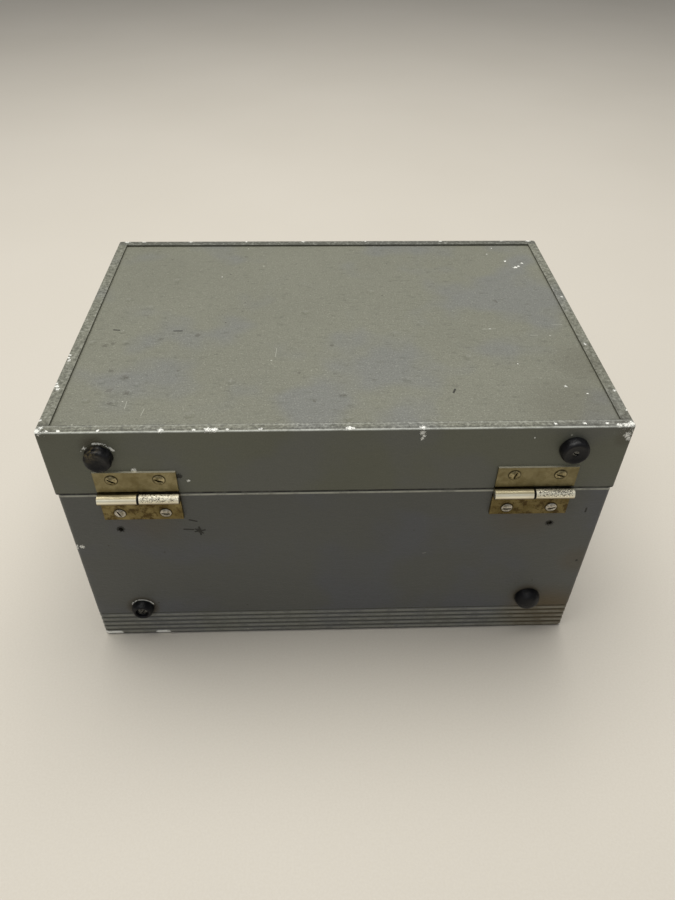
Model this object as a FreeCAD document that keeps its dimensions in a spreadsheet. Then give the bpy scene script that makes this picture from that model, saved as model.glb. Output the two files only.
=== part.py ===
"""Portable overhead projector in its closed carrying case.

Millimetres, +Z up.  The origin is the middle of the case's underside.  The carrying handle and the
latches are on the front (-Y), the hinges and the rubber standing feet on the back (+Y).
"""
import FreeCAD, Part
import math
import os
import re

import Sketcher
from FreeCAD import Placement, Rotation, Vector

DIMENSIONS = {
    # carrying case
    "case_width": 355.6, "case_depth": 254.0, "case_height": 203.2, "seam_height": 152.4,
    "seam_gap": 0.8, "lid_overhang": 0.7, "wall": 2.8, "corner_radius": 3.0, "edge_round": 1.2,
    "lid_corner": 1.8, "lid_edge": 0.7, "rim_width": 7.0, "rim_height": 1.5, "lid_thickness": 2.4,
    "floor_thickness": 2.5, "floor_lap": 0.2,
    "reed_pitch": 5.1, "reed_depth": 1.2, "reed_foot": 1.0,
    # screw holes of a lid stay, and the ventilation slots in the two side walls
    "stay_offset": 143.0, "stay_height": 119.3, "stay_hole": 1.7,
    "slot_length": 52.0, "slot_height": 3.4, "slot_pitch": 8.5, "slot_lowest": 38.0,
    # lift-off hinges
    "hinge_offset": 125.2, "hinge_length": 50.8, "hinge_height": 151.5, "hinge_stand": 3.7,
    "knuckle_radius": 3.5, "knuckle_gap": 0.3, "leaf_thickness": 1.5, "leaf_reach": 20.6,
    "pin_radius": 1.6, "trim_size": 10.0, "trim_inset": 0.2,
    "hinge_screw_spread": 14.6, "hinge_screw": 3.5, "hinge_screw_head": 1.5,
    "hinge_screw_shank": 7.0,
    # rubber standing feet on the back: each right one sits lower by its droop, each left one higher
    "lid_foot_offset": 143.6, "lid_foot_height": 185.7, "lid_foot_droop": 1.0,
    "lid_foot_length": 6.8, "lid_foot_base": 8.6, "lid_foot_tip": 7.7,
    "case_foot_offset": 142.5, "case_foot_height": 37.0, "case_foot_droop": 2.5,
    "case_foot_length": 6.1, "case_foot_base": 8.0, "case_foot_tip": 6.4,
    "dome_foot_length": 8.4, "dome_foot_base": 9.1, "dome_foot_tip": 7.4, "dome_edge": 2.6,
    "dome_rise": 0.4, "foot_flange": 1.0, "foot_edge": 1.6, "foot_recess": 4.4,
    "foot_recess_depth": 2.6, "recess_lip": 0.6, "foot_screw": 3.9, "foot_screw_head": 1.4,
    # deck and the pillars that hold it
    "deck_height": 146.0, "deck_thickness": 2.0, "deck_margin": 0.6, "deck_screw": 2.6,
    "deck_screw_head": 1.4, "deck_screw_shank": 8.0, "thread_depth": 9.0,
    "pillar_radius": 3.0, "pillar_offset": 120.0, "pillar_rear": 116.0, "pillar_front": 120.0,
    # stage: the glass that the transparency lies on, and the lens under it
    "stage_offset": 74.0, "stage_rear": 10.0, "stage_opening": 177.8, "stage_bezel": 194.0,
    "bezel_height": 2.6, "deck_window": 186.0, "glass_size": 184.0, "glass_thickness": 3.0,
    "glass_fit": 0.5, "fresnel_thickness": 2.0, "tray_height": 8.1, "tray_ledge": 3.0,
    "tray_opening": 176.0, "tray_inset": 1.0,
    # light source under the stage
    "house_size": 96.0, "house_height": 86.0, "sheet": 1.2, "plate": 2.0, "house_port": 60.0,
    "window_width": 60.0, "window_height": 48.0, "window_middle": 40.0,
    "lamp_height": 50.0, "lamp_radius": 12.0, "lamp_length": 40.0, "lamp_shoulder": 8.0,
    "lamp_reach": 26.0, "cap_length": 6.0, "socket_radius": 14.0, "socket_reach": 27.0,
    "socket_length": 12.0, "socket_depth": 5.0, "socket_plate": 36.0, "socket_rise": 10.0,
    "socket_foot": 8.0, "mirror_radius": 36.0, "mirror_mouth": 29.0, "dish_depth": 20.6,
    "dish_stem": 7.0, "cell_radius": 36.0, "cell_bore": 31.2, "cell_height": 14.0,
    "cell_step": 7.5, "cell_lip": 2.0, "cell_floor": 2.5, "glass_gap": 0.2,
    "heat_radius": 28.0, "heat_thickness": 3.0, "condenser_radius": 31.0,
    "condenser_edge": 3.0, "condenser_dome": 9.0,
    # cooling fan
    "fan_rear": 87.0, "fan_height": 50.0, "fan_radius": 34.0, "fan_hub": 8.0, "fan_left": 146.0,
    "hub_length": 12.0, "blade_root": 2.0, "blade_chord": 20.0, "blade_pitch": 32.0,
    "shaft_radius": 2.5, "shaft_nose": 5.0, "shaft_tail": 6.0,
    "motor_left": 105.0, "motor_size": 44.0, "motor_stack": 18.0, "coil_overhang": 7.0,
    "coil_depth": 16.0, "coil_height": 18.0, "coil_shift": 12.0, "leg_rise": 10.0,
    "leg_clearance": 3.0, "motor_foot": 16.0,
    "shroud_left": 156.0, "shroud_bore": 36.0, "shroud_width": 70.0, "shroud_rise": 34.0,
    # well in the deck that the projection head hangs in
    "well_left": 170.0, "well_right": 26.0, "well_front": 112.0, "well_rear": 50.0,
    "well_floor": 30.0,
    # folding mast, in its own upright frame with the hinge line at the origin
    "mast_x": 158.0, "mast_y": 105.0, "mast_z": 156.5, "post_radius": 8.0, "post_bore": 6.5,
    "post_foot": 20.0, "post_top": 272.0, "post_cap": 3.0, "eye_radius": 7.5, "eye_width": 14.0,
    "mast_pin": 3.0, "cheek_gap": 0.5, "cheek_thickness": 3.0, "clevis_size": 26.0,
    "clevis_depth": 30.0,
    "focus_height": 240.0, "rack_width": 6.0, "rack_thickness": 3.0, "rack_from": 176.0,
    "rack_to": 268.0, "rack_tooth": 1.0, "rack_pitch": 2.0, "rack_root": 1.0, "rack_play": 0.4,
    "channel_depth": 4.5, "mesh_gap": 0.25, "carriage_depth": 36.0, "carriage_width": 26.0,
    "carriage_height": 36.0, "carriage_nose": 26.0,
    "pinion_radius": 6.0, "pinion_width": 14.0, "pinion_play": 0.5, "tooth_relief": 0.05,
    "drive_shaft": 38.0, "drive_tail": 5.5, "knob_radius": 13.5, "knob_width": 13.0,
    "knob_neck": 2.0, "knob_bevel": 1.5, "knob_flute": 0.7,
    # projection head
    "arm_reach_x": 84.0, "arm_reach_y": 115.0, "arm_width": 12.0, "arm_height": 14.0,
    "holder_radius": 31.0, "barrel_radius": 25.0, "barrel_bore": 21.5, "barrel_length": 38.0,
    "barrel_drop": 4.0, "barrel_lip": 1.2, "barrel_bevel": 1.0,
    "front_lens": 39.0, "middle_lens": 24.5, "rear_lens": 7.2,
    "mirror_pivot": 27.0, "mirror_width": 50.0, "mirror_length": 56.0, "mirror_rim": 2.0,
    "mirror_sheet": 2.3, "backing_depth": 4.0, "recess_floor": 0.5, "mirror_pin": 2.5,
    "mirror_pin_length": 8.0, "mirror_pin_reach": 29.5, "cradle_width": 62.0,
    "cradle_depth": 50.0, "cradle_port": 23.0, "cradle_cheek": 18.0, "cradle_rise": 6.0,
    "tilt_knob": 9.0, "tilt_knob_width": 8.0, "tilt_knob_bevel": 1.0, "tilt_knob_reach": 33.5,
    # running clearance between a pin and its bore, and the length of every cutting rod
    "running": 0.05, "cutter_length": 80.0,
    # switch and inlet in the deck behind the well
    "switch_x": 62.0, "inlet_x": 118.0, "panel_y": 88.0, "panel_fit": 0.4,
    "switch_width": 20.0, "switch_depth": 15.0, "switch_drop": 18.0, "bush_radius": 6.0,
    "bush_height": 9.0, "bush_bore": 4.2, "bat_root": 1.8, "bat_bevel": 0.6, "bat_tip": 2.4,
    "bat_length": 19.4, "bat_height": 1.2, "bat_pivot": 1.0, "bat_pivot_length": 8.0,
    "inlet_width": 28.0, "inlet_depth": 20.0, "inlet_height": 26.0, "inlet_rise": 1.0,
    "inlet_flange": 4.0, "flange_height": 1.6, "inlet_wall": 2.5, "inlet_well": 18.0,
    "inlet_pin": 2.2, "inlet_pin_length": 12.0, "inlet_pin_spread": 6.0,
    # carrying handle
    "handle_height": 104.0, "handle_stand": 11.0, "handle_span": 122.0, "handle_drop": 38.0,
    "handle_rod": 3.0, "stub_length": 10.0, "grip_radius": 8.5, "grip_length": 96.0,
    "grip_bevel": 2.0, "grip_shoulder": 3.0, "bracket_offset": 8.0, "bracket_width": 8.0,
    "bracket_height": 30.0, "lug_height": 12.0, "handle_screw": 2.6,
    "handle_screw_spread": 11.0, "handle_screw_head": 1.0, "handle_screw_shank": 6.0,
    # draw latches
    "latch_offset": 118.0, "latch_height": 130.0, "latch_stand": 8.0, "latch_throw": 8.0,
    "latch_inset": 3.4, "latch_width": 20.0, "latch_length": 44.0, "latch_drop": 8.0,
    "latch_pin": 1.5, "latch_cheek": 2.0, "cheek_height": 8.0, "cheek_rise": 1.0,
    "latch_nose": 4.5, "bail_wire": 1.3, "bail_half": 12.0, "bail_reach": 43.6,
    "lever_half": 7.4, "lever_length": 30.0, "lever_play": 0.3, "lever_sheet": 1.6,
    "lever_stand": 4.5, "lever_lip": 4.0, "lever_ear": 2.3, "lever_flange": 18.0,
    "flange_depth": 5.5, "keeper_width": 18.0, "keeper_height": 22.0, "keeper_rise": 1.0,
    "shelf_depth": 6.0, "shelf_height": 2.4, "loop_slack": 0.6,
}
REEDS = 5
SLOTS = 7
FAN_BLADES = 5
PINION_BLADES = 18
KNOB_FLUTES = 24
SWITCH_LEAN = 12
LEVER_RAISED = 55
BAIL_LEAN = 15
HEAD_TILT = 45
HANDS = ((-1, "left"), (1, "right"))

doc = FreeCAD.newDocument("overhead_projector")
sizes = doc.addObject("Spreadsheet::Sheet", "sizes")
for row, (word, length) in enumerate(DIMENSIONS.items(), start=1):
    sizes.set(f"A{row}", word)
    sizes.set(f"B{row}", str(length))
    sizes.setAlias(f"B{row}", word)
doc.recompute()

nodes = []


# ---------------------------------------------------------------- expressions and placements
def linked(text):
    """The expression with each dimension's word pointing at its cell in the sheet."""
    def cell(word):
        return "sizes." + word[0] if word[0] in DIMENSIONS else word[0]
    return re.sub(r"[a-z_]\w*", cell, str(text))


def number(text):
    """The value that an expression has now."""
    value = sizes.evalExpression(linked(text))
    return float(getattr(value, "Value", value))


def bind(item, **expressions):
    for name, text in expressions.items():
        item.setExpression(name, linked(text))
    return item


TURNS = {
    "x": Rotation(Vector(0, 1, 0), 90),
    "y": Rotation(Vector(1, 0, 0), -90),
    "-y": Rotation(Vector(1, 0, 0), 90),
    "z": Rotation(),
}


def place(item, at, turn=None):
    """Set the object's own origin at a point, with its own Z along a direction or a rotation."""
    rotation = TURNS[turn] if isinstance(turn, str) else turn or Rotation()
    item.Placement = Placement(Vector(), rotation)
    for letter, text in zip("xyz", at):
        item.setExpression("Placement.Base." + letter, linked(text))
    return item


def keep(item, label):
    """List the object as a node of the projector under its own name."""
    item.Label = label
    nodes.append(item)
    return item


# ---------------------------------------------------------------- Part primitives and booleans
def block(name, size, at=None):
    """A block given by its lowest corner, or left at the origin for its placement to be set."""
    item = doc.addObject("Part::Box", name)
    bind(item, Length=size[0], Width=size[1], Height=size[2])
    return place(item, at) if at else item


def slab(name, size, centre):
    """A block given by its centre."""
    corner = [f"({c}) - ({s})/2" for c, s in zip(centre, size)]
    return block(name, size, corner)


def rod(name, radius, length, at, along="z"):
    item = doc.addObject("Part::Cylinder", name)
    bind(item, Radius=radius, Height=length)
    return place(item, at, along)


def cutter(name, radius, middle, along="z"):
    """A rod for cutting a hole: longer than any wall is thick, and centred on a point."""
    at = list(middle)
    at["xyz".index(along)] += " - cutter_length/2"
    return rod(name, radius, "cutter_length", at, along)


def ball(name, radius, at):
    item = doc.addObject("Part::Sphere", name)
    bind(item, Radius=radius)
    return place(item, at)


def fuse(name, pieces):
    item = doc.addObject("Part::MultiFuse", name)
    item.Shapes = list(pieces)
    return item


def group(name, pieces):
    """Separate solids kept in one node."""
    item = doc.addObject("Part::Compound", name)
    item.Links = list(pieces)
    return item


def cut(name, base, tools):
    item = doc.addObject("Part::Cut", name)
    item.Base = base
    item.Tool = tools[0] if len(tools) == 1 else fuse(name + "_tools", tools)
    return item


def common(name, base, tool):
    item = doc.addObject("Part::Common", name)
    item.Base = base
    item.Tool = tool
    return item


# ---------------------------------------------------------------- PartDesign bodies
def body(name):
    return doc.addObject("PartDesign::Body", name)


def outline(owner, name, role, points):
    """A closed sketch.  A third value in a point bends the edge after it to that radius."""
    sketch = owner.newObject("Sketcher::SketchObject", name)
    plane = [item for item in owner.Origin.OriginFeatures if item.Role == role][0]
    sketch.AttachmentSupport = [(plane, "")]
    sketch.MapMode = "FlatFace"
    spots = [Vector(number(point[0]), number(point[1]), 0) for point in points]
    starts = []
    for index, point in enumerate(points):
        here = spots[index]
        there = spots[(index + 1) % len(spots)]
        if len(point) == 2:
            sketch.addGeometry(Part.LineSegment(here, there), False)
            starts.append(1)
            continue
        radius = number(point[2])
        chord = there - here
        sagitta = abs(radius) - math.sqrt(max(radius ** 2 - (chord.Length / 2) ** 2, 0))
        side = Vector(chord.y, -chord.x, 0).normalize() * math.copysign(sagitta, radius)
        first, last = (here, there) if radius > 0 else (there, here)
        edge = sketch.addGeometry(Part.Arc(first, (here + there) / 2 + side, last), False)
        starts.append(1 if radius > 0 else 2)
        rule = sketch.addConstraint(Sketcher.Constraint("Radius", edge, abs(radius)))
        sketch.setExpression(f"Constraints[{rule}]", linked(f"abs({point[2]})"))
    for index, point in enumerate(points):
        following = (index + 1) % len(points)
        joint = Sketcher.Constraint("Coincident", index, 3 - starts[index],
                                    following, starts[following])
        sketch.addConstraint(joint)
        for kind, text in (("DistanceX", point[0]), ("DistanceY", point[1])):
            spot = Sketcher.Constraint(kind, -1, 1, index, starts[index], number(text))
            rule = sketch.addConstraint(spot)
            sketch.setExpression(f"Constraints[{rule}]", linked(text))
    return sketch


def rectangle(owner, name, width, depth, x="0", y="0", role="XY_Plane"):
    low_x, high_x = f"({x}) - ({width})/2", f"({x}) + ({width})/2"
    low_y, high_y = f"({y}) - ({depth})/2", f"({y}) + ({depth})/2"
    corners = [(low_x, low_y), (high_x, low_y), (high_x, high_y), (low_x, high_y)]
    return outline(owner, name, role, corners)


def lift(sketch, height):
    bind(sketch, **{"AttachmentOffset.Base.z": height})
    return sketch


def pad(owner, name, sketch, length):
    feature = owner.newObject("PartDesign::Pad", name)
    feature.Profile = sketch
    bind(feature, Length=length)
    doc.recompute()
    return feature


def pocket(owner, name, sketch, length, upwards=False):
    """Cut downwards from the sketch, or upwards."""
    feature = owner.newObject("PartDesign::Pocket", name)
    feature.Profile = sketch
    feature.Reversed = upwards
    bind(feature, Length=length)
    doc.recompute()
    return feature


def turned(owner, name, sketch):
    """A full revolution about the sketch's vertical axis."""
    feature = owner.newObject("PartDesign::Revolution", name)
    feature.Profile = sketch
    feature.ReferenceAxis = (sketch, ["V_Axis"])
    feature.Angle = 360
    doc.recompute()
    return feature


def rounded(owner, name, feature, radius, wanted):
    """Fillet the edges that a test picks out."""
    edges = [f"Edge{index}" for index, edge in enumerate(feature.Shape.Edges, start=1)
             if wanted(edge)]
    fillet = owner.newObject("PartDesign::Fillet", name)
    fillet.Base = (feature, edges)
    bind(fillet, Radius=radius)
    doc.recompute()
    return fillet


def drill(owner, name, role, spots, radius, length, reverse=False):
    """Round holes through a wall, drawn on one of the body's own middle planes."""
    sketch = owner.newObject("Sketcher::SketchObject", name + "_centres")
    plane = [item for item in owner.Origin.OriginFeatures if item.Role == role][0]
    sketch.AttachmentSupport = [(plane, "")]
    sketch.MapMode = "FlatFace"
    for across, up in spots:
        centre = Vector(number(across), number(up), 0)
        circle = sketch.addGeometry(Part.Circle(centre, Vector(0, 0, 1), number(radius)), False)
        for kind, text in (("DistanceX", across), ("DistanceY", up)):
            spot = Sketcher.Constraint(kind, -1, 1, circle, 3, number(text))
            rule = sketch.addConstraint(spot)
            sketch.setExpression(f"Constraints[{rule}]", linked(text))
        rule = sketch.addConstraint(Sketcher.Constraint("Radius", circle, number(radius)))
        sketch.setExpression(f"Constraints[{rule}]", linked(radius))
    return pocket(owner, name, sketch, length, reverse)


def upright(edge):
    return abs(edge.tangentAt(edge.FirstParameter).z) > 0.99


def lathe(name, points):
    """A turned piece, given by its half section (radius, height)."""
    piece = body(name)
    turned(piece, name + "_turning", outline(piece, name + "_section", "XZ_Plane", points))
    return piece


# ---------------------------------------------------------------- fasteners
def slotted_screw(name, at, radius, proud, shank, along, slot_angle=0.0):
    """A domed head with a driver slot; the head stands proud of the point it is set at."""
    crown = f"({radius})*1.8"
    dome = ball(name + "_dome", crown, ("0", "0", f"({proud}) - {crown}"))
    head = common(name + "_head", rod(name + "_disc", radius, proud, ("0", "0", "0")), dome)
    stem = rod(name + "_stem", f"({radius})/2", shank, ("0", "0", f"-({shank})"))
    slot = slab(name + "_slot", (f"({radius})*3", f"({radius})*0.42", f"({proud})*1.3"), ("0", "0", proud))
    piece = cut(name, fuse(name + "_solid", [head, stem]), [slot])
    turn = TURNS[along].multiply(Rotation(Vector(0, 0, 1), slot_angle))
    return place(piece, at, turn)


# ---------------------------------------------------------------- carrying case
HALF_W = "(case_width/2 - lid_overhang)"
HALF_D = "(case_depth/2 - lid_overhang)"
BODY_TOP = "(seam_height - seam_gap/2)"
LID_FOOT = "(seam_height + seam_gap/2)"
LID_FRONT = "-case_depth/2"
FOOT_STEM = "foot_screw/2"
# which way a hole is drilled from the middle plane
REARWARDS = False
FORWARDS = True


def hinge_screw_spots(way):
    """Centres (x, z) of the hinge screws in the lid (way 1) or in the case (way -1)."""
    return [(f"{side}*hinge_offset + {step}*hinge_screw_spread",
             f"hinge_height + {way}*hinge_screw_spread") for side in (-1, 1) for step in (-1, 1)]


def handle_screw_spots():
    """Centres (x, z) of the screws in the front wall."""
    return [(f"{side}*(handle_span/2 + bracket_offset)",
             f"handle_height + {step}*handle_screw_spread")
            for side in (-1, 1) for step in (-1, 1)]


def make_case_body():
    """Deep-drawn lower case: a reeded band round the foot, a rounded top edge and side slots."""
    case = body("case_body")
    r = "corner_radius"
    way_round = outline(case, "case_way_round", "XY_Plane", [
        (HALF_W, "0"),
        (HALF_W, f"{HALF_D} - {r}", r),
        (f"{HALF_W} - {r}", HALF_D),
        (f"-{HALF_W} + {r}", HALF_D, r),
        (f"-{HALF_W}", f"{HALF_D} - {r}"),
        (f"-{HALF_W}", f"-{HALF_D} + {r}", r),
        (f"-{HALF_W} + {r}", f"-{HALF_D}"),
        (f"{HALF_W} - {r}", f"-{HALF_D}", r),
        (HALF_W, f"-{HALF_D} + {r}"),
    ])
    crease = f"{HALF_W} - reed_depth"
    bead_radius = "((reed_pitch/2)^2 + reed_depth^2)/(2*reed_depth)"
    reeds = [(crease, f"reed_foot + {index}*reed_pitch", bead_radius) for index in range(REEDS)]
    band_top = f"reed_foot + {REEDS}*reed_pitch"
    section = outline(case, "case_wall_section", "XZ_Plane", [
        (f"{HALF_W} - wall", "0"),
        (crease, "0"),
        *reeds,
        (crease, band_top),
        (HALF_W, f"{band_top} + reed_depth"),
        (HALF_W, f"{BODY_TOP} - edge_round", "edge_round"),
        (f"{HALF_W} - edge_round", BODY_TOP),
        (f"{HALF_W} - wall", BODY_TOP),
    ])
    doc.recompute()
    walls = case.newObject("PartDesign::AdditivePipe", "case_walls")
    walls.Profile = section
    walls.Spine = (way_round, [f"Edge{index + 1}" for index in range(way_round.GeometryCount)])
    doc.recompute()
    inner_width = f"2*({HALF_W} - wall + floor_lap)"
    inner_depth = f"2*({HALF_D} - wall + floor_lap)"
    pad(case, "case_floor", rectangle(case, "floor_outline", inner_width, inner_depth),
        "floor_thickness")
    slots = case.newObject("PartDesign::Pocket", "side_slots_right")
    slots.Profile = side_slots(case, "slot_rows_right", "stage_rear")
    cut_through(slots, reverse=True)
    slots = case.newObject("PartDesign::Pocket", "side_slots_left")
    slots.Profile = side_slots(case, "slot_rows_left", "fan_rear")
    cut_through(slots, reverse=False)
    drill(case, "hinge_holes", "XZ_Plane", hinge_screw_spots(-1), "hinge_screw/2",
          "case_depth", REARWARDS)
    foot = ("case_foot_offset", "case_foot_height - case_foot_droop")
    drill(case, "foot_hole", "XZ_Plane", [foot], FOOT_STEM, "case_depth", REARWARDS)
    stays = [(f"{side}*stay_offset", "stay_height") for side in (-1, 1)]
    drill(case, "stay_holes", "XZ_Plane", stays, "stay_hole", "case_depth", REARWARDS)
    drill(case, "handle_holes", "XZ_Plane", handle_screw_spots(), "handle_screw/2",
          "case_depth", FORWARDS)
    keep(case, "case_body")


def side_slots(owner, name, middle):
    """A column of ventilation slots with round ends, drawn on the middle plane."""
    sketch = owner.newObject("Sketcher::SketchObject", name)
    plane = [item for item in owner.Origin.OriginFeatures if item.Role == "YZ_Plane"][0]
    sketch.AttachmentSupport = [(plane, "")]
    sketch.MapMode = "FlatFace"
    half = number("slot_length/2 - slot_height/2")
    radius = number("slot_height/2")
    for index in range(SLOTS):
        y = number(middle)
        z = number(f"slot_lowest + {index}*slot_pitch")
        lower = Part.LineSegment(Vector(y - half, z - radius, 0), Vector(y + half, z - radius, 0))
        upper = Part.LineSegment(Vector(y + half, z + radius, 0), Vector(y - half, z + radius, 0))
        right = Part.Arc(lower.EndPoint, Vector(y + half + radius, z, 0), upper.StartPoint)
        left = Part.Arc(upper.EndPoint, Vector(y - half - radius, z, 0), lower.StartPoint)
        first = sketch.GeometryCount
        sketch.addGeometry([lower, right, upper, left], False)
        for step in range(4):
            ends = Sketcher.Constraint("Coincident", first + step, 2, first + (step + 1) % 4, 1)
            sketch.addConstraint(ends)
        rule = sketch.addConstraint(Sketcher.Constraint("DistanceY", -1, 1, first, 1, z - radius))
        sketch.setExpression(f"Constraints[{rule}]",
                             linked(f"slot_lowest + {index}*slot_pitch - slot_height/2"))
        rule = sketch.addConstraint(Sketcher.Constraint("DistanceX", -1, 1, first, 1, y - half))
        sketch.setExpression(f"Constraints[{rule}]",
                             linked(f"{middle} - slot_length/2 + slot_height/2"))
    return sketch


def cut_through(feature, reverse):
    """Cut from the middle plane out through one side wall."""
    feature.Type = "Length"
    feature.Reversed = reverse
    bind(feature, Length="case_width")
    doc.recompute()


def make_lid():
    """Lid shell: a recessed top panel inside a raised rim, hollow underneath."""
    lid = body("lid_shell")
    shell = pad(lid, "lid_block", lift(rectangle(lid, "lid_outline", "case_width", "case_depth"),
                                       LID_FOOT), f"case_height - {LID_FOOT}")
    corners = rounded(lid, "lid_corners", shell, "lid_corner", upright)
    top = number("case_height")
    rounded(lid, "lid_top_edges", corners, "lid_edge",
            lambda edge: all(abs(vertex.Z - top) < 0.01 for vertex in edge.Vertexes))
    recess = lift(rectangle(lid, "panel_outline", "case_width - 2*rim_width",
                            "case_depth - 2*rim_width"), "case_height")
    pocket(lid, "top_recess", recess, "rim_height")
    hollow = lift(rectangle(lid, "hollow_outline", "case_width - 2*wall", "case_depth - 2*wall"),
                  LID_FOOT)
    pocket(lid, "lid_hollow", hollow, f"case_height - rim_height - lid_thickness - {LID_FOOT}",
           upwards=True)
    drill(lid, "hinge_holes_lid", "XZ_Plane", hinge_screw_spots(1), "hinge_screw/2",
          "case_depth", REARWARDS)
    feet = [(f"{side}*lid_foot_offset", f"lid_foot_height - {side}*lid_foot_droop")
            for side in (-1, 1)]
    drill(lid, "foot_holes_lid", "XZ_Plane", feet, FOOT_STEM, "case_depth", REARWARDS)
    keep(lid, "lid_shell")


# ---------------------------------------------------------------- hinges
HINGE_Y = "(case_depth/2 + hinge_stand)"


def hinge_leaf(name, side, lid_leaf):
    """One leaf of a lift-off hinge.  The lid's knuckle is on +X, the case's knuckle on -X."""
    centre = f"{side}*hinge_offset"
    back = "case_depth/2" if lid_leaf else f"{HALF_D}"
    front = "case_depth/2 + leaf_thickness"
    thickness = f"({front}) - ({back})"
    way = 1 if lid_leaf else -1
    # plate beside its own knuckle reaches the pin's line, the other half is cut back
    clear = "(knuckle_radius + knuckle_gap)"
    own_x = centre if lid_leaf else f"{centre} - hinge_length/2"
    other_x = f"{centre} - hinge_length/2" if lid_leaf else centre
    low_own = "hinge_height" if lid_leaf else "hinge_height - leaf_reach"
    low_other = f"hinge_height + {clear}" if lid_leaf else "hinge_height - leaf_reach"
    own = block(name + "_own", ("hinge_length/2", thickness, "leaf_reach"), (own_x, back, low_own))
    other = block(name + "_other", ("hinge_length/2", thickness, f"leaf_reach - {clear}"),
                  (other_x, back, low_other))
    shift = "knuckle_gap/2" if way > 0 else "0"
    knuckle = rod(name + "_knuckle", "knuckle_radius", "hinge_length/2 - knuckle_gap/2",
                  (f"{own_x} + {shift}", HINGE_Y, "hinge_height"), "x")
    bore_radius = "pin_radius + running" if lid_leaf else "pin_radius"
    bore = cutter(name + "_bore", bore_radius, (centre, HINGE_Y, "hinge_height"), "x")
    trim = block(name + "_trim", ("knuckle_gap", "trim_size", "trim_size"),
                 (f"{centre} - knuckle_gap/2", "case_depth/2 + trim_inset",
                  "hinge_height - trim_size/2"))
    holes = []
    for step in (-1, 1):
        hole = cutter(f"{name}_hole{step + 1}", "hinge_screw/2",
                      (f"{centre} + {step}*hinge_screw_spread", "case_depth/2",
                       f"hinge_height + {way}*hinge_screw_spread"), "y")
        holes.append(hole)
    solid = fuse(name + "_solid", [own, other, knuckle])
    return cut(name, solid, [bore, trim, *holes])


def hinge_pin(name, side):
    """The pin is fast in the case's knuckle and its end shows in the lid's knuckle at +X."""
    start = f"{side}*hinge_offset - hinge_length/2"
    return rod(name, "pin_radius", "hinge_length", (start, HINGE_Y, "hinge_height"), "x")


def hinge_screws(name, way, slot_angles):
    screws = []
    for index, (x, z) in enumerate(hinge_screw_spots(way)):
        at = (x, "case_depth/2 + leaf_thickness", z)
        screws.append(slotted_screw(f"{name}_{index}", at, "hinge_screw",
                                    "hinge_screw_head", "hinge_screw_shank", "y",
                                    slot_angles[index]))
    keep(group(name, screws), name)


def make_hinges():
    lid_leaves = [hinge_leaf(f"lid_leaf_{hand}", side, True) for side, hand in HANDS]
    case_leaves = [hinge_leaf(f"case_leaf_{hand}", side, False) for side, hand in HANDS]
    pins = [hinge_pin(f"hinge_pin_{hand}", side) for side, hand in HANDS]
    keep(group("hinge_lid_leaves", lid_leaves), "hinge_lid_leaves")
    keep(group("hinge_case_leaves", case_leaves), "hinge_case_leaves")
    keep(group("hinge_pins", pins), "hinge_pins")
    hinge_screws("hinge_lid_screws", 1, (-15, 72, -22, -32))
    hinge_screws("hinge_case_screws", -1, (18, 2, -5, -62))


# ---------------------------------------------------------------- rubber standing feet
def rubber_foot(name, at, base, tip, length):
    """A tapered rubber button with a rounded tip, held by a screw at the bottom of its recess."""
    bottom = f"{length} - foot_recess_depth"
    section = [(FOOT_STEM, "0"), (base, "0"), (base, "foot_flange"),
               (f"{tip} + foot_edge*0.35", f"{length} - foot_edge", "foot_edge"),
               (f"{tip} - foot_edge*0.65", length),
               ("foot_recess + recess_lip", length), ("foot_recess", f"{length} - recess_lip"),
               ("foot_recess", bottom), (FOOT_STEM, bottom)]
    return place(lathe(name, section), at, "y")


def domed_foot(name, at):
    """A plain glued button with a low dome, in place of one that was lost."""
    section = [("0", "0"), ("dome_foot_base", "0"), ("dome_foot_base", "foot_flange"),
               ("dome_foot_tip + dome_edge*0.35", "dome_foot_length - dome_edge", "dome_edge"),
               ("dome_foot_tip - dome_edge*0.65", "dome_foot_length - dome_rise"),
               ("0", "dome_foot_length")]
    return place(lathe(name, section), at, "y")


def foot_screw(name, at, length, slot_angle):
    bottom = f"({at[1]}) + {length} - foot_recess_depth"
    return slotted_screw(name, (at[0], bottom, at[2]), "foot_screw", "foot_screw_head",
                         f"{length} + foot_edge", "y", slot_angle)


def make_standing_feet():
    lid_feet, lid_screws = [], []
    for side, hand in HANDS:
        at = (f"{side}*lid_foot_offset", "case_depth/2", f"lid_foot_height - {side}*lid_foot_droop")
        lid_feet.append(rubber_foot(f"lid_foot_{hand}", at, "lid_foot_base", "lid_foot_tip",
                                    "lid_foot_length"))
        lid_screws.append(foot_screw(f"lid_foot_screw_{hand}", at, "lid_foot_length", 35 * side))
    right = ("case_foot_offset", HALF_D, "case_foot_height - case_foot_droop")
    left = ("-case_foot_offset", HALF_D, "case_foot_height + case_foot_droop")
    case_feet = [rubber_foot("case_foot_right", right, "case_foot_base", "case_foot_tip",
                             "case_foot_length"), domed_foot("case_foot_left", left)]
    case_screws = [foot_screw("case_foot_screw_right", right, "case_foot_length", 50)]
    keep(group("lid_feet", lid_feet), "lid_feet")
    keep(group("lid_foot_screws", lid_screws), "lid_foot_screws")
    keep(group("case_feet", case_feet), "case_feet")
    keep(group("case_foot_screws", case_screws), "case_foot_screws")


# ---------------------------------------------------------------- deck and stage
STAGE_Y = "stage_rear"
DECK_FOOT = "(deck_height - deck_thickness)"
WELL_X = "(-(well_left + well_right)/2)"
WELL_Y = "((well_rear - well_front)/2)"
WELL_W = "(well_left - well_right)"
WELL_D = "(well_rear + well_front)"


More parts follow.
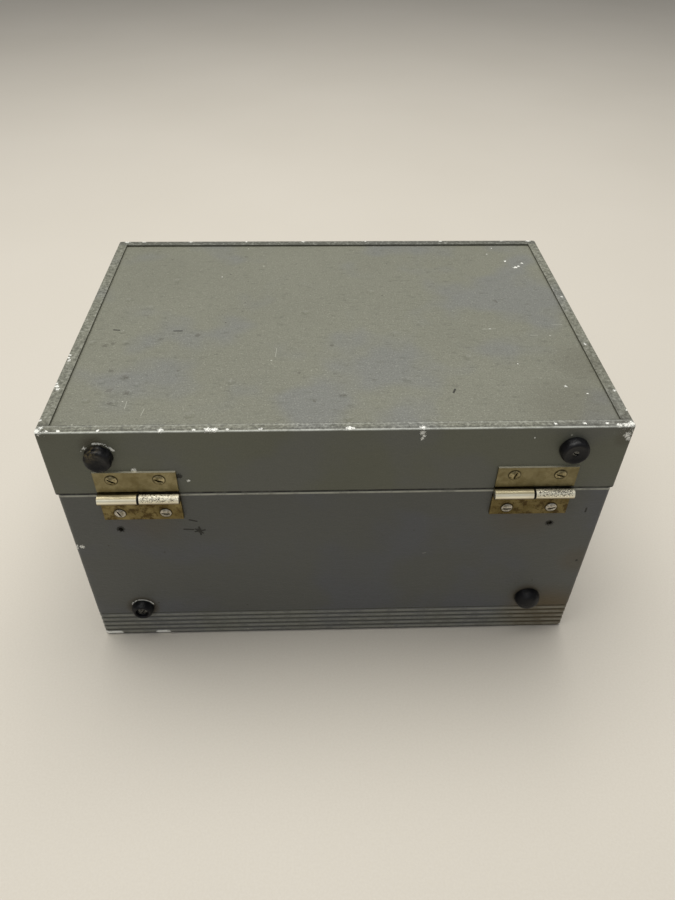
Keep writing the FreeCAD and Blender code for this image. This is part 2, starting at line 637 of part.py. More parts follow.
def make_deck():
    """Sheet deck with the stage window, the well's mouth and the holes of switch and inlet."""
    deck = body("deck_plate")
    full_w = f"2*({HALF_W} - wall - deck_margin)"
    full_d = f"2*({HALF_D} - wall - deck_margin)"
    plate = pad(deck, "deck_sheet", lift(rectangle(deck, "deck_outline", full_w, full_d),
                                         DECK_FOOT), "deck_thickness")
    rounded(deck, "deck_corners", plate, "corner_radius", upright)
    top = "deck_height"
    window = lift(rectangle(deck, "deck_window_outline", "deck_window", "deck_window",
                            "stage_offset", STAGE_Y), top)
    pocket(deck, "stage_window", window, "deck_thickness")
    mouth = lift(rectangle(deck, "mouth_outline", WELL_W, WELL_D, WELL_X, WELL_Y), top)
    pocket(deck, "well_mouth", mouth, "deck_thickness")
    inlet = lift(rectangle(deck, "inlet_outline", "inlet_width + panel_fit",
                           "inlet_depth + panel_fit", "-inlet_x", "panel_y"), top)
    pocket(deck, "inlet_window", inlet, "deck_thickness")
    switch = lift(rectangle(deck, "switch_outline", "2*bush_radius + panel_fit",
                            "2*bush_radius + panel_fit", "-switch_x", "panel_y"), top)
    pocket(deck, "switch_window", switch, "deck_thickness")
    drill(deck, "deck_screw_holes", "XY_Plane", pillar_spots(), "deck_screw/2", "case_height",
          True)
    keep(deck, "deck_plate")


def pillar_spots():
    for side in (-1, 1):
        yield f"{side}*pillar_offset", "pillar_rear"
        yield f"{side}*pillar_offset", "-pillar_front"


def make_deck_pillars():
    pillars = []
    screws = []
    for index, (x, y) in enumerate(pillar_spots()):
        post = rod(f"pillar_post_{index}", "pillar_radius", f"{DECK_FOOT} - floor_thickness",
                   (x, y, "floor_thickness"))
        thread = rod(f"pillar_thread_{index}", "deck_screw/2", "thread_depth + pillar_radius",
                     (x, y, f"{DECK_FOOT} - thread_depth"))
        pillars.append(cut(f"pillar_{index}", post, [thread]))
        screws.append(slotted_screw(f"deck_screw_{index}", (x, y, "deck_height"), "deck_screw",
                                    "deck_screw_head", "deck_screw_shank", "z", 40 * index))
    keep(group("deck_pillars", pillars), "deck_pillars")
    keep(group("deck_screws", screws), "deck_screws")


def pane(name, thickness, floor):
    return slab(name, ("glass_size", "glass_size", thickness),
                ("stage_offset", STAGE_Y, f"{floor} + ({thickness})/2"))


def make_stage():
    """Bezel, glass, the pair of Fresnel lenses under it and the tray that holds them."""
    middle = ("stage_offset", STAGE_Y, "deck_height + bezel_height/2")
    bezel = slab("bezel_solid", ("stage_bezel", "stage_bezel", "bezel_height"), middle)
    opening = slab("bezel_opening", ("stage_opening", "stage_opening", "2*bezel_height"), middle)
    keep(cut("stage_frame", bezel, [opening]), "stage_frame")
    floor = f"({DECK_FOOT} - tray_height)"
    bowl = slab("tray_solid", ("stage_bezel - 2*tray_inset", "stage_bezel - 2*tray_inset",
                               "tray_height"),
                ("stage_offset", STAGE_Y, f"{floor} + tray_height/2"))
    seat = slab("tray_seat", ("glass_size + 2*glass_fit", "glass_size + 2*glass_fit",
                              "tray_height"),
                ("stage_offset", STAGE_Y, f"{floor} + tray_ledge + tray_height/2"))
    hole = slab("tray_hole", ("tray_opening", "tray_opening", "tray_height*3"),
                ("stage_offset", STAGE_Y, floor))
    keep(cut("fresnel_tray", bowl, [seat, hole]), "fresnel_tray")
    seat_height = f"({floor} + tray_ledge)"
    lenses = [pane("fresnel_lower", "fresnel_thickness", seat_height),
              pane("fresnel_upper", "fresnel_thickness", f"{seat_height} + fresnel_thickness")]
    keep(group("fresnel_lenses", lenses), "fresnel_lenses")
    keep(pane("stage_glass", "glass_thickness", f"{seat_height} + 2*fresnel_thickness"),
         "stage_glass")


# ---------------------------------------------------------------- light source
LAMP_X = "stage_offset"
HOUSE_TOP = "(floor_thickness + house_height)"


def make_lamp_house():
    """Sheet box round the lamp, with a port for the light and two open air windows."""
    centre = (LAMP_X, STAGE_Y, "floor_thickness + house_height/2")
    outer = slab("house_outer", ("house_size", "house_size", "house_height"), centre)
    inner = slab("house_inner", ("house_size - 2*sheet", "house_size - 2*sheet",
                                 "house_height"),
                 (LAMP_X, STAGE_Y, "floor_thickness + house_height/2 - sheet"))
    port = rod("house_port_cut", "house_port/2", "house_height",
               (LAMP_X, STAGE_Y, "floor_thickness + house_height/2"))
    windows = slab("house_windows", ("2*house_size", "window_width", "window_height"),
                   (LAMP_X, STAGE_Y, "floor_thickness + window_middle"))
    keep(cut("lamp_house", outer, [inner, port, windows]), "lamp_house")


def make_lamp():
    """Tubular lamp lying along X, its base in the socket on +X."""
    neck = "lamp_radius*0.6"
    glass = lathe("lamp_bulb", [("0", "0"), (neck, "0"), ("lamp_radius", "lamp_shoulder"),
                                ("lamp_radius", "lamp_length - lamp_radius", "lamp_radius"),
                                ("0", "lamp_length")])
    base_x = f"{LAMP_X} + lamp_reach"
    place(glass, (base_x, STAGE_Y, "lamp_height"), Rotation(Vector(0, 1, 0), -90))
    cap = rod("lamp_cap", neck, "cap_length", (base_x, STAGE_Y, "lamp_height"), "x")
    keep(fuse("lamp", [glass, cap]), "lamp")
    socket_at = (f"{LAMP_X} + socket_reach", STAGE_Y, "lamp_height")
    socket = rod("socket_solid", "socket_radius", "socket_length", socket_at, "x")
    bore = rod("socket_bore", neck, "socket_depth", socket_at, "x")
    socket = cut("lamp_socket", socket, [bore])
    back = f"{LAMP_X} + socket_reach + socket_length"
    rise = "(lamp_height + socket_rise)"
    upright_plate = slab("socket_upright", ("plate", "socket_plate", rise),
                         (f"{back} + plate/2", STAGE_Y, f"floor_thickness + {rise}/2"))
    foot = slab("socket_flange", ("socket_foot", "socket_plate", "plate"),
                (f"{back} + plate - socket_foot/2", STAGE_Y, "floor_thickness + plate/2"))
    bracket = fuse("socket_bracket", [upright_plate, foot])
    keep(group("lamp_holder", [socket, bracket]), "lamp_holder")


def make_reflector():
    """Spherical dish under the lamp, centred on the filament, on its stand."""
    outer = ball("reflector_outside", "mirror_radius", (LAMP_X, STAGE_Y, "lamp_height"))
    inner = ball("reflector_inside", "mirror_radius - sheet", (LAMP_X, STAGE_Y, "lamp_height"))
    shell = cut("reflector_shell", outer, [inner])
    limit = rod("reflector_limit", "mirror_mouth", "dish_depth + sheet",
                (LAMP_X, STAGE_Y, "lamp_height - mirror_radius - sheet"))
    dish = common("reflector_dish", shell, limit)
    floor = "lamp_height - mirror_radius"
    stand = rod("reflector_stand", "dish_stem", f"{floor} - floor_thickness",
                (LAMP_X, STAGE_Y, "floor_thickness"))
    keep(group("reflector", [dish, stand]), "reflector")


def make_condenser():
    """Stepped cell above the light port, with the heat glass under the condenser."""
    cell = lathe("condenser_cell", [
        ("heat_radius - cell_lip", "0"), ("cell_radius", "0"), ("cell_radius", "cell_height"),
        ("cell_bore", "cell_height"), ("cell_bore", "cell_step"),
        ("heat_radius + glass_gap", "cell_step"), ("heat_radius + glass_gap", "cell_floor"),
        ("heat_radius - cell_lip", "cell_floor")])
    keep(place(cell, (LAMP_X, STAGE_Y, HOUSE_TOP)), "condenser_cell")
    keep(rod("heat_glass", "heat_radius", "heat_thickness",
             (LAMP_X, STAGE_Y, f"{HOUSE_TOP} + cell_floor")), "heat_glass")
    dome = "((condenser_radius^2 + condenser_dome^2)/(2*condenser_dome))"
    lens = lathe("condenser_lens", [
        ("0", "0"), ("condenser_radius", "0"), ("condenser_radius", "condenser_edge", dome),
        ("0", "condenser_edge + condenser_dome")])
    keep(place(lens, (LAMP_X, STAGE_Y, f"{HOUSE_TOP} + cell_step")), "condenser_lens")


# ---------------------------------------------------------------- fan
def make_fan():
    """Propeller fan on the motor's own shaft, drawing air in through the left side slots."""
    wheel_at = ("-fan_left", "fan_rear", "fan_height")
    hub = rod("fan_hub_solid", "fan_hub", "hub_length",
              ("-fan_left - hub_length/2", "fan_rear", "fan_height"), "x")
    blades = []
    for index in range(FAN_BLADES):
        blade = block(f"fan_blade_{index}",
                      ("blade_chord", "sheet", "fan_radius - fan_hub + blade_root"))
        pitch = Rotation(Vector(0, 0, 1), number("blade_pitch"))
        spin = Rotation(Vector(1, 0, 0), 360 * index / FAN_BLADES)
        corner = Vector(number("-blade_chord/2"), number("-sheet/2"),
                        number("fan_hub - blade_root"))
        blade.Placement = (Placement(Vector(), spin) * Placement(Vector(), pitch)
                           * Placement(corner, Rotation()))
        blades.append(blade)
    ring = place(fuse("fan_blades", blades), wheel_at)
    trimmed = common("fan_blades_trimmed", ring, cutter("fan_limit", "fan_radius", wheel_at, "x"))
    bore = cutter("fan_bore", "shaft_radius", wheel_at, "x")
    keep(cut("fan_wheel", fuse("fan_solid", [hub, trimmed]), [bore]), "fan_wheel")
    shaft_length = "fan_left + shaft_nose - motor_left + motor_stack/2 + shaft_tail"
    keep(rod("fan_shaft", "shaft_radius", shaft_length,
             ("-fan_left - shaft_nose", "fan_rear", "fan_height"), "x"), "fan_shaft")
    sheet_plate = slab("shroud_sheet", ("sheet", "shroud_width", "fan_height + shroud_rise"),
                       ("-shroud_left", "fan_rear",
                        "floor_thickness + (fan_height + shroud_rise)/2"))
    hole = cutter("shroud_hole", "shroud_bore", ("-shroud_left", "fan_rear", "fan_height"), "x")
    keep(cut("fan_shroud", sheet_plate, [hole]), "fan_shroud")


def make_motor():
    """Shaded-pole motor: its stack and coil, held by an angle bracket on the floor."""
    middle = ("-motor_left", "fan_rear", "fan_height")
    stack = slab("motor_stack_solid", ("motor_stack", "motor_size", "motor_size"), middle)
    hole = cutter("motor_bore", "shaft_radius + running", middle, "x")
    stack = cut("motor_laminations", stack, [hole])
    coil = slab("motor_coil", ("motor_stack + 2*coil_overhang", "coil_depth", "coil_height"),
                ("-motor_left", "fan_rear - coil_shift",
                 "fan_height + motor_size/2 + coil_height/2"))
    keep(group("fan_motor", [stack, coil]), "fan_motor")
    face = "-motor_left + motor_stack/2"
    top = "(fan_height + leg_rise)"
    leg = slab("motor_leg", ("plate", "motor_size", f"{top} - floor_thickness"),
               (f"{face} + plate/2", "fan_rear", f"({top} + floor_thickness)/2"))
    foot = slab("motor_flange", ("motor_foot", "motor_size", "plate"),
                (f"{face} + motor_foot/2", "fan_rear", "floor_thickness + plate/2"))
    gap = cutter("motor_leg_hole", "shaft_radius + leg_clearance", middle, "x")
    keep(cut("motor_bracket", fuse("motor_bracket_solid", [leg, foot]), [gap]), "motor_bracket")


# ---------------------------------------------------------------- well for the projection head
def make_well():
    outer = slab("well_outer", (f"{WELL_W} + 2*sheet", f"{WELL_D} + 2*sheet",
                                f"{DECK_FOOT} - well_floor"),
                 (WELL_X, WELL_Y, f"({DECK_FOOT} + well_floor)/2"))
    inner = slab("well_inner", (WELL_W, WELL_D, f"{DECK_FOOT} - well_floor"),
                 (WELL_X, WELL_Y, f"({DECK_FOOT} + well_floor)/2 + sheet"))
    keep(cut("storage_well", outer, [inner]), "storage_well")


# ---------------------------------------------------------------- switch and inlet
def make_switch():
    """Toggle switch under the deck, its threaded bush in the deck's window."""
    x, y = "-switch_x", "panel_y"
    housing = slab("switch_block", ("switch_width", "switch_depth", "switch_drop"),
                   (x, y, f"{DECK_FOOT} - switch_drop/2"))
    bush = rod("switch_bush", "bush_radius", "bush_height", (x, y, DECK_FOOT))
    bore = rod("switch_bore", "bush_bore", "2*bush_height", (x, y, DECK_FOOT))
    keep(cut("switch_body", fuse("switch_solid", [housing, bush]), [bore]), "switch_body")
    bat = lathe("switch_bat", [("0", "0"), ("bat_root", "bat_bevel"),
                               ("bat_tip", "bat_length - bat_tip", "bat_tip"),
                               ("0", "bat_length")])
    pivot = rod("switch_pivot", "bat_pivot", "bat_pivot_length",
                ("0", "-bat_pivot_length/2", "0"), "y")
    lever = fuse("switch_lever_solid", [bat, pivot])
    lean = Rotation(Vector(0, 1, 0), SWITCH_LEAN)
    keep(place(lever, (x, y, f"{DECK_FOOT} + bat_height"), lean), "switch_lever")


def make_inlet():
    """Flanged mains inlet with two round pins at the bottom of its well."""
    x, y = "-inlet_x", "panel_y"
    shell = slab("inlet_shell", ("inlet_width", "inlet_depth", "inlet_height"),
                 (x, y, "deck_height + inlet_rise - inlet_height/2"))
    flange = slab("inlet_rim", ("inlet_width + 2*inlet_flange", "inlet_depth + 2*inlet_flange",
                                "flange_height"), (x, y, "deck_height + flange_height/2"))
    floor = "(deck_height + flange_height - inlet_well)"
    hollow = slab("inlet_hollow", ("inlet_width - 2*inlet_wall", "inlet_depth - 2*inlet_wall",
                                   "2*inlet_well"), (x, y, f"{floor} + inlet_well"))
    housing = cut("inlet_body", fuse("inlet_solid", [shell, flange]), [hollow])
    pins = [rod(f"inlet_pin_{step + 1}", "inlet_pin", "inlet_pin_length",
                (f"{x} + {step}*inlet_pin_spread", y, floor)) for step in (-1, 1)]
    keep(group("power_inlet", [housing, *pins]), "power_inlet")


# ---------------------------------------------------------------- folding mast
MAST_TURN = Rotation(Vector(0, 1, 0), -90)
MAST_AT = ("mast_x", "-mast_y", "mast_z")
PINION_X = "(post_radius + rack_thickness + mesh_gap + pinion_radius)"
CARRIAGE_X = "(carriage_nose - carriage_depth/2)"
HEAD_X = "(-arm_reach_x)"
HEAD_Y = "(arm_reach_y)"


def stow(item, label):
    """Lay a piece that is drawn with the mast upright along the front of the deck."""
    return keep(place(item, MAST_AT, MAST_TURN), label)


def make_post():
    """Clevis on the deck with its pin, and the post with the eye at its foot."""
    x, y, z = MAST_AT
    gap_width = "(eye_width + 2*cheek_gap)"
    width = f"({gap_width} + 2*cheek_thickness)"
    base = slab("clevis_base", ("clevis_size", "clevis_size", "plate"),
                (x, y, "deck_height + plate/2"))
    cheeks = slab("clevis_cheeks", ("2*eye_radius", width, f"{z} + eye_radius - deck_height"),
                  (x, y, f"(deck_height + {z} + eye_radius)/2"))
    gap = slab("clevis_gap", ("clevis_size", gap_width, "clevis_depth"),
               (x, y, "deck_height + plate + clevis_depth/2"))
    bore = cutter("clevis_bore", "mast_pin", (x, y, z), "y")
    clevis = cut("post_clevis", fuse("clevis_solid", [base, cheeks]), [gap, bore])
    pin = rod("post_pin", "mast_pin", width, (x, f"{y} - {width}/2", z), "y")
    keep(group("post_bracket", [clevis, pin]), "post_bracket")
    eye = rod("eye_round", "eye_radius", "eye_width", ("0", "-eye_width/2", "0"), "y")
    shank = slab("eye_shank", ("2*eye_radius", "eye_width", "post_foot"),
                 ("0", "0", "post_foot/2"))
    bore = cutter("eye_bore", "mast_pin + running", ("0", "0", "0"), "y")
    stow(cut("post_foot_block", fuse("eye_solid", [eye, shank]), [bore]), "post_foot_block")
    tube = rod("tube_outer", "post_radius", "post_top - post_foot", ("0", "0", "post_foot"))
    hollow = rod("tube_inner", "post_bore", "post_top - post_foot - post_cap",
                 ("0", "0", "post_foot"))
    stow(cut("post_tube", tube, [hollow]), "post_tube")


def make_rack():
    """Toothed strip along the post, on the side away from the lens."""
    length = "(rack_to - rack_from)"
    strip = slab("rack_strip", ("rack_thickness + rack_root", "rack_width", length),
                 ("post_radius + (rack_thickness - rack_root)/2", "0",
                  f"rack_from + {length}/2"))
    around = rod("rack_seat", "post_radius", "post_top", ("0", "0", "0"))
    notches = []
    count = int(number(f"{length}/rack_pitch"))
    for index in range(count):
        notches.append(slab(f"rack_notch_{index}",
                            ("2*rack_tooth", "2*rack_width", "rack_pitch/2"),
                            ("post_radius + rack_thickness", "0",
                             f"rack_from + ({index} + 0.5)*rack_pitch")))
    stow(cut("focus_rack", strip, [around, *notches]), "focus_rack")


def make_carriage():
    """Block that slides on the post, hollowed for the rack and for the pinion that drives it."""
    middle = (CARRIAGE_X, "0", "focus_height")
    solid = slab("carriage_solid", ("carriage_depth", "carriage_width", "carriage_height"), middle)
    bore = cutter("carriage_bore", "post_radius + running", ("0", "0", "focus_height"))
    channel = slab("carriage_channel",
                   ("channel_depth", "rack_width + 2*rack_play", "2*carriage_height"),
                   ("post_radius + rack_thickness/2", "0", "focus_height"))
    room = "(pinion_width + 2*pinion_play)"
    chamber = rod("pinion_chamber", "pinion_radius + 2*rack_play", room,
                  (PINION_X, f"-{room}/2", "focus_height"), "y")
    bearing = cutter("pinion_bearing", "shaft_radius + running", (PINION_X, "0", "focus_height"),
                     "y")
    stow(cut("head_carriage", solid, [bore, channel, chamber, bearing]), "head_carriage")


DRIVE_TURN = MAST_TURN.multiply(TURNS["y"])


def make_pinion():
    """Pinion on its shaft.  Each blade runs right across it and makes two opposite teeth."""
    core = rod("pinion_core", "pinion_radius - rack_tooth", "pinion_width", ("0", "0", "0"))
    shaft = rod("pinion_shaft", "shaft_radius", "drive_shaft", ("0", "0", "-drive_tail"))
    blades = []
    for index in range(PINION_BLADES):
        blade = block(f"pinion_blade_{index}",
                      ("2*(pinion_radius - tooth_relief)", "rack_pitch/2", "pinion_width"))
        spin = Rotation(Vector(0, 0, 1), 180 * index / PINION_BLADES)
        corner = Vector(number("tooth_relief - pinion_radius"), number("-rack_pitch/4"), 0)
        blade.Placement = Placement(Vector(), spin) * Placement(corner, Rotation())
        blades.append(blade)
    pinion = fuse("focus_pinion", [core, shaft, *blades])
    at = ("mast_x - focus_height", "-mast_y - pinion_width/2", f"mast_z + {PINION_X}")
    keep(place(pinion, at, DRIVE_TURN), "focus_pinion")


def make_focus_knob():
    """Fluted knob on the rear end of the pinion's shaft."""
    knob = lathe("focus_knob_blank", [
        ("shaft_radius", "0"), ("knob_radius*0.6", "0"), ("knob_radius*0.6", "knob_neck"),
        ("knob_radius", "knob_neck*1.3"), ("knob_radius", "knob_width - knob_bevel"),
        ("knob_radius - knob_bevel", "knob_width"), ("shaft_radius", "knob_width")])
    flutes = []
    for index in range(KNOB_FLUTES):
        angle = 2 * math.pi * index / KNOB_FLUTES
        at = (f"knob_radius*{math.cos(angle):.5f}", f"knob_radius*{math.sin(angle):.5f}",
              "knob_neck")
        flutes.append(rod(f"knob_flute_{index}", "knob_flute", "knob_width", at))
    at = ("mast_x - focus_height", "-mast_y + carriage_width/2 + rack_root",
          f"mast_z + {PINION_X}")
    keep(place(cut("focus_knob", knob, flutes), at, DRIVE_TURN), "focus_knob")


def make_arm():
    """Bar from the carriage across to the ring that holds the lens."""
    reach = Vector(number("arm_reach_x"), number("arm_reach_y"), 0)
    turn = Rotation(Vector(0, 1, 0), Vector(-reach.x, reach.y, 0))
    bar = block("arm_bar", ("arm_width", "sqrt(arm_reach_x^2 + arm_reach_y^2)", "arm_height"))
    offset = turn.multVec(Vector(-number("arm_width") / 2, 0, 0))
    bar.Placement = Placement(offset + Vector(0, 0, number("focus_height - arm_height")), turn)
    near = slab("arm_near_trim", ("carriage_depth", "carriage_width", "2*carriage_height"),
                (CARRIAGE_X, "0", "focus_height"))
    head = (HEAD_X, HEAD_Y, "focus_height")
    far = cutter("arm_far_trim", "holder_radius", head)
    bar = cut("arm_trimmed", bar, [near, far])
    ring = rod("holder_outer", "holder_radius", "arm_height",
               (HEAD_X, HEAD_Y, "focus_height - arm_height"))
    bore = cutter("holder_bore", "barrel_radius", head)
    stow(cut("head_arm", fuse("arm_solid", [bar, ring]), [bore]), "head_arm")


def head_ring(name, section, height):
    """A turned piece of the projection head, on the lens axis at a height up the mast."""
    piece = lathe(name, section)
    at = (f"mast_x - ({height})", f"-mast_y + {HEAD_Y}", f"mast_z + {HEAD_X}")
    return keep(place(piece, at, MAST_TURN), name)


def lens_section(edge, front, back):
    """Half section of a lens that fills the barrel: a flat edge and two spherical faces.

    front and back are how far the faces bulge, or below zero how far they are hollowed.
    """
    radius = "(barrel_bore - 2*running)"
    def bend(sagitta):
        return f"(({radius})^2 + ({sagitta})^2)/(2*({sagitta}))"
    return [("0", f"-({edge})/2 - ({back})", bend(back)), (radius, f"-({edge})/2"),
            (radius, f"({edge})/2", bend(front)), ("0", f"({edge})/2 + ({front})")]


def make_lens():
    """Three-element lens in a barrel whose ends are spun in over the glass."""
    top = "-barrel_drop"
    bottom = "-barrel_drop - barrel_length"
    lip = "barrel_bore - barrel_lip"
    barrel = [(lip, bottom), ("barrel_radius - barrel_bevel", bottom),
              ("barrel_radius", f"{bottom} + barrel_bevel"), ("barrel_radius", top), (lip, top),
              (lip, f"{top} - barrel_bevel"), ("barrel_bore", f"{top} - barrel_bevel"),
              ("barrel_bore", f"{bottom} + barrel_lip"), (lip, f"{bottom} + barrel_lip")]
    head_ring("lens_barrel", barrel, "focus_height")
    front = lens_section(edge="2", front="3", back="1.2")
    middle = lens_section(edge="6", front="-2", back="-1.5")
    rear = lens_section(edge="2", front="1.5", back="3")
    head_ring("lens_front", front, "focus_height - front_lens")
    head_ring("lens_middle", middle, "focus_height - middle_lens")
    head_ring("lens_rear", rear, "focus_height - rear_lens")


PIVOT = "(focus_height + mirror_pivot)"


def make_cradle():
    """Plate on top of the lens, with the two cheeks that the mirror turns between."""
    plate = slab("cradle_plate", ("cradle_width", "cradle_depth", "plate"),
                 (HEAD_X, HEAD_Y, "focus_height + plate/2"))
    port = cutter("cradle_hole", "cradle_port", (HEAD_X, HEAD_Y, "focus_height"))
    height = "(mirror_pivot + cradle_rise)"
    cheeks = [slab(f"cradle_side_{side + 1}", ("plate", "cradle_cheek", height),
                   (f"{HEAD_X} + {side}*(cradle_width - plate)/2", HEAD_Y,
                    f"focus_height + {height}/2")) for side in (-1, 1)]
    bore = cutter("cradle_bore", "mirror_pin + running", (HEAD_X, HEAD_Y, PIVOT), "x")
    stow(cut("mirror_cradle", fuse("cradle_solid", [plate, *cheeks]), [port, bore]),
         "mirror_cradle")


def make_mirror():
    """Front-silvered mirror in its tray, on two pins, with the knob that tilts it."""
    tray = slab("backing_solid", ("mirror_width + 2*mirror_rim", "backing_depth",
                                  "mirror_length"), ("0", "0", "0"))
    recess = slab("backing_recess", ("mirror_width", "backing_depth",
                                     "mirror_length - 2*mirror_rim"),
                  ("0", "-(backing_depth/2 + recess_floor)", "0"))
    pins = [rod(f"mirror_pin_{side + 1}", "mirror_pin", "mirror_pin_length",
                (f"{side}*mirror_pin_reach - mirror_pin_length/2", "0", "0"), "x")
            for side in (-1, 1)]
    at = (f"mast_x - {PIVOT}", f"-mast_y + {HEAD_Y}", f"mast_z + {HEAD_X}")
    turn = MAST_TURN.multiply(Rotation(Vector(1, 0, 0), HEAD_TILT))
    backing = cut("mirror_backing", fuse("backing_all", [tray, *pins]), [recess])
    keep(place(backing, at, turn), "mirror_backing")
    glass = slab("mirror_glass_solid",
                 ("mirror_width - 2*glass_gap", "mirror_sheet",
                  "mirror_length - 2*mirror_rim - 2*glass_gap"),
                 ("0", "-(recess_floor + mirror_sheet/2)", "0"))
    keep(place(group("mirror_glass", [glass]), at, turn), "mirror_glass")
    narrow, bevel = "tilt_knob - tilt_knob_bevel", "tilt_knob_bevel"
    knob = lathe("mirror_knob", [
        ("0", "0"), (narrow, "0"), ("tilt_knob", bevel),
        ("tilt_knob", f"tilt_knob_width - {bevel}"), (narrow, "tilt_knob_width"),
        ("0", "tilt_knob_width")])
    at = (at[0], at[1], f"{at[2]} + tilt_knob_reach")
    keep(place(knob, at, turn.multiply(TURNS["x"])), "mirror_knob")


# ---------------------------------------------------------------- carrying handle
FRONT_Y = f"(-{HALF_D})"
HANDLE_Y = f"({FRONT_Y} - handle_stand)"


def make_handle():
    """Steel bail with a moulded grip; it hangs down the front."""
    z = "handle_height"
    low = "(handle_height - handle_drop)"
    half = "(handle_span/2)"
    bars = [rod("bail_bar", "handle_rod", "handle_span", (f"-{half}", HANDLE_Y, low), "x")]
    for side in (-1, 1):
        x = f"{side}*{half}"
        bars.append(rod(f"bail_side_{side + 1}", "handle_rod", "handle_drop", (x, HANDLE_Y, low)))
        bars.append(ball(f"bail_low_{side + 1}", "handle_rod", (x, HANDLE_Y, low)))
        bars.append(ball(f"bail_high_{side + 1}", "handle_rod", (x, HANDLE_Y, z)))
        start = x if side > 0 else f"{x} - stub_length"
        bars.append(rod(f"bail_stub_{side + 1}", "handle_rod", "stub_length",
                        (start, HANDLE_Y, z), "x"))
    keep(fuse("handle_bail", bars), "handle_bail")
    narrow = "grip_radius - grip_bevel"
    grip = lathe("handle_grip", [
        ("handle_rod", "0"), (narrow, "0"), ("grip_radius", "grip_shoulder"),
        ("grip_radius", "grip_length - grip_shoulder"), (narrow, "grip_length"),
        ("handle_rod", "grip_length")])
    keep(place(grip, ("-grip_length/2", HANDLE_Y, low), "x"), "handle_grip")


def make_handle_brackets():
    """The two brackets that the handle's stubs turn in, each held by two screws."""
    z = "handle_height"
    brackets = []
    for side, hand in HANDS:
        x = f"{side}*(handle_span/2 + bracket_offset)"
        base = slab(f"bracket_plate_{hand}", ("bracket_width", "plate", "bracket_height"),
                    (x, f"{FRONT_Y} - plate/2", z))
        lug = slab(f"bracket_lug_{hand}", ("bracket_width", "handle_stand", "lug_height"),
                   (x, f"{FRONT_Y} - handle_stand/2", z))
        nose = rod(f"bracket_nose_{hand}", "lug_height/2", "bracket_width",
                   (f"{x} - bracket_width/2", HANDLE_Y, z), "x")
        bore = cutter(f"bracket_hole_{hand}", "handle_rod + running", (x, HANDLE_Y, z), "x")
        holes = [cutter(f"bracket_screw_hole_{hand}{step + 1}", "handle_screw/2",
                        (x, FRONT_Y, f"{z} + {step}*handle_screw_spread"), "y")
                 for step in (-1, 1)]
        solid = fuse(f"handle_bracket_solid_{hand}", [base, lug, nose])
        brackets.append(cut(f"handle_bracket_{hand}", solid, [bore, *holes]))
    keep(group("handle_brackets", brackets), "handle_brackets")
    screws = [slotted_screw(f"bracket_screw_{index}", (x, f"{FRONT_Y} - plate", height),
                            "handle_screw", "handle_screw_head", "handle_screw_shank", "-y",
                            30 * index)
              for index, (x, height) in enumerate(handle_screw_spots())]
    keep(group("handle_screws", screws), "handle_screws")


# ---------------------------------------------------------------- draw latches
LATCH_Y = f"({FRONT_Y} - latch_stand)"


def latch_base(x, hand):
    """Plate on the case with two cheeks, and the pin that the lever turns on."""
    z = "latch_height"
    half = "(lever_half + lever_play + latch_cheek)"
    pieces = [slab(f"latch_plate_{hand}", ("latch_width", "plate", "latch_length"),
                   (x, f"{FRONT_Y} - plate/2", f"{z} - latch_drop"))]
    for step in (-1, 1):
        cheek_x = f"{x} + {step}*({half} - latch_cheek/2)"
        pieces.append(slab(f"latch_cheek_{hand}{step + 1}",
                           ("latch_cheek", "latch_stand", "cheek_height"),
                           (cheek_x, f"{FRONT_Y} - latch_stand/2", f"{z} + cheek_rise")))
        pieces.append(rod(f"latch_nose_{hand}{step + 1}", "latch_nose", "latch_cheek",
                          (f"{cheek_x} - latch_cheek/2", LATCH_Y, z), "x"))
    bore = cutter(f"latch_bore_{hand}", "latch_pin", (x, LATCH_Y, z), "x")
    base = cut(f"latch_base_{hand}", fuse(f"latch_solid_{hand}", pieces), [bore])
    pin = rod(f"latch_pin_{hand}", "latch_pin", f"2*{half}", (f"{x} - {half}", LATCH_Y, z), "x")
    return [base, pin]


def latch_lever(x, hand):
    """Channel-shaped lever, raised: a cover outside and two flanges that carry the loop."""
    cover_height = "(lever_length + lever_lip)"
    pieces = [slab(f"lever_cover_{hand}", ("2*lever_half", "lever_sheet", cover_height),
                   ("0", "-lever_stand", f"lever_lip - {cover_height}/2"))]
    for step in (-1, 1):
        flange_x = f"{step}*(lever_half - lever_sheet/2)"
        pieces.append(slab(f"lever_side_{hand}{step + 1}",
                           ("lever_sheet", "flange_depth", "lever_flange"),
                           (flange_x, "flange_depth/2 - lever_stand",
                            "lever_lip - lever_flange/2")))
        pieces.append(rod(f"lever_ear_{hand}{step + 1}", "lever_ear", "lever_sheet",
                          (f"{flange_x} - lever_sheet/2", "latch_inset", "-latch_throw"), "x"))
        pieces.append(slab(f"lever_web_{hand}{step + 1}",
                           ("lever_sheet", "latch_inset", "2*lever_ear"),
                           (flange_x, "latch_inset/2", "-latch_throw")))
    bores = [cutter(f"lever_bore_{hand}", "latch_pin + running", ("0", "0", "0"), "x"),
             cutter(f"lever_loop_bore_{hand}", "bail_wire + running",
                    ("0", "latch_inset", "-latch_throw"), "x")]
    lever = cut(f"latch_lever_{hand}", fuse(f"lever_solid_{hand}", pieces), bores)
    raised = Rotation(Vector(1, 0, 0), -LEVER_RAISED)
    keep(place(lever, (x, LATCH_Y, "latch_height"), raised), f"latch_lever_{hand}")


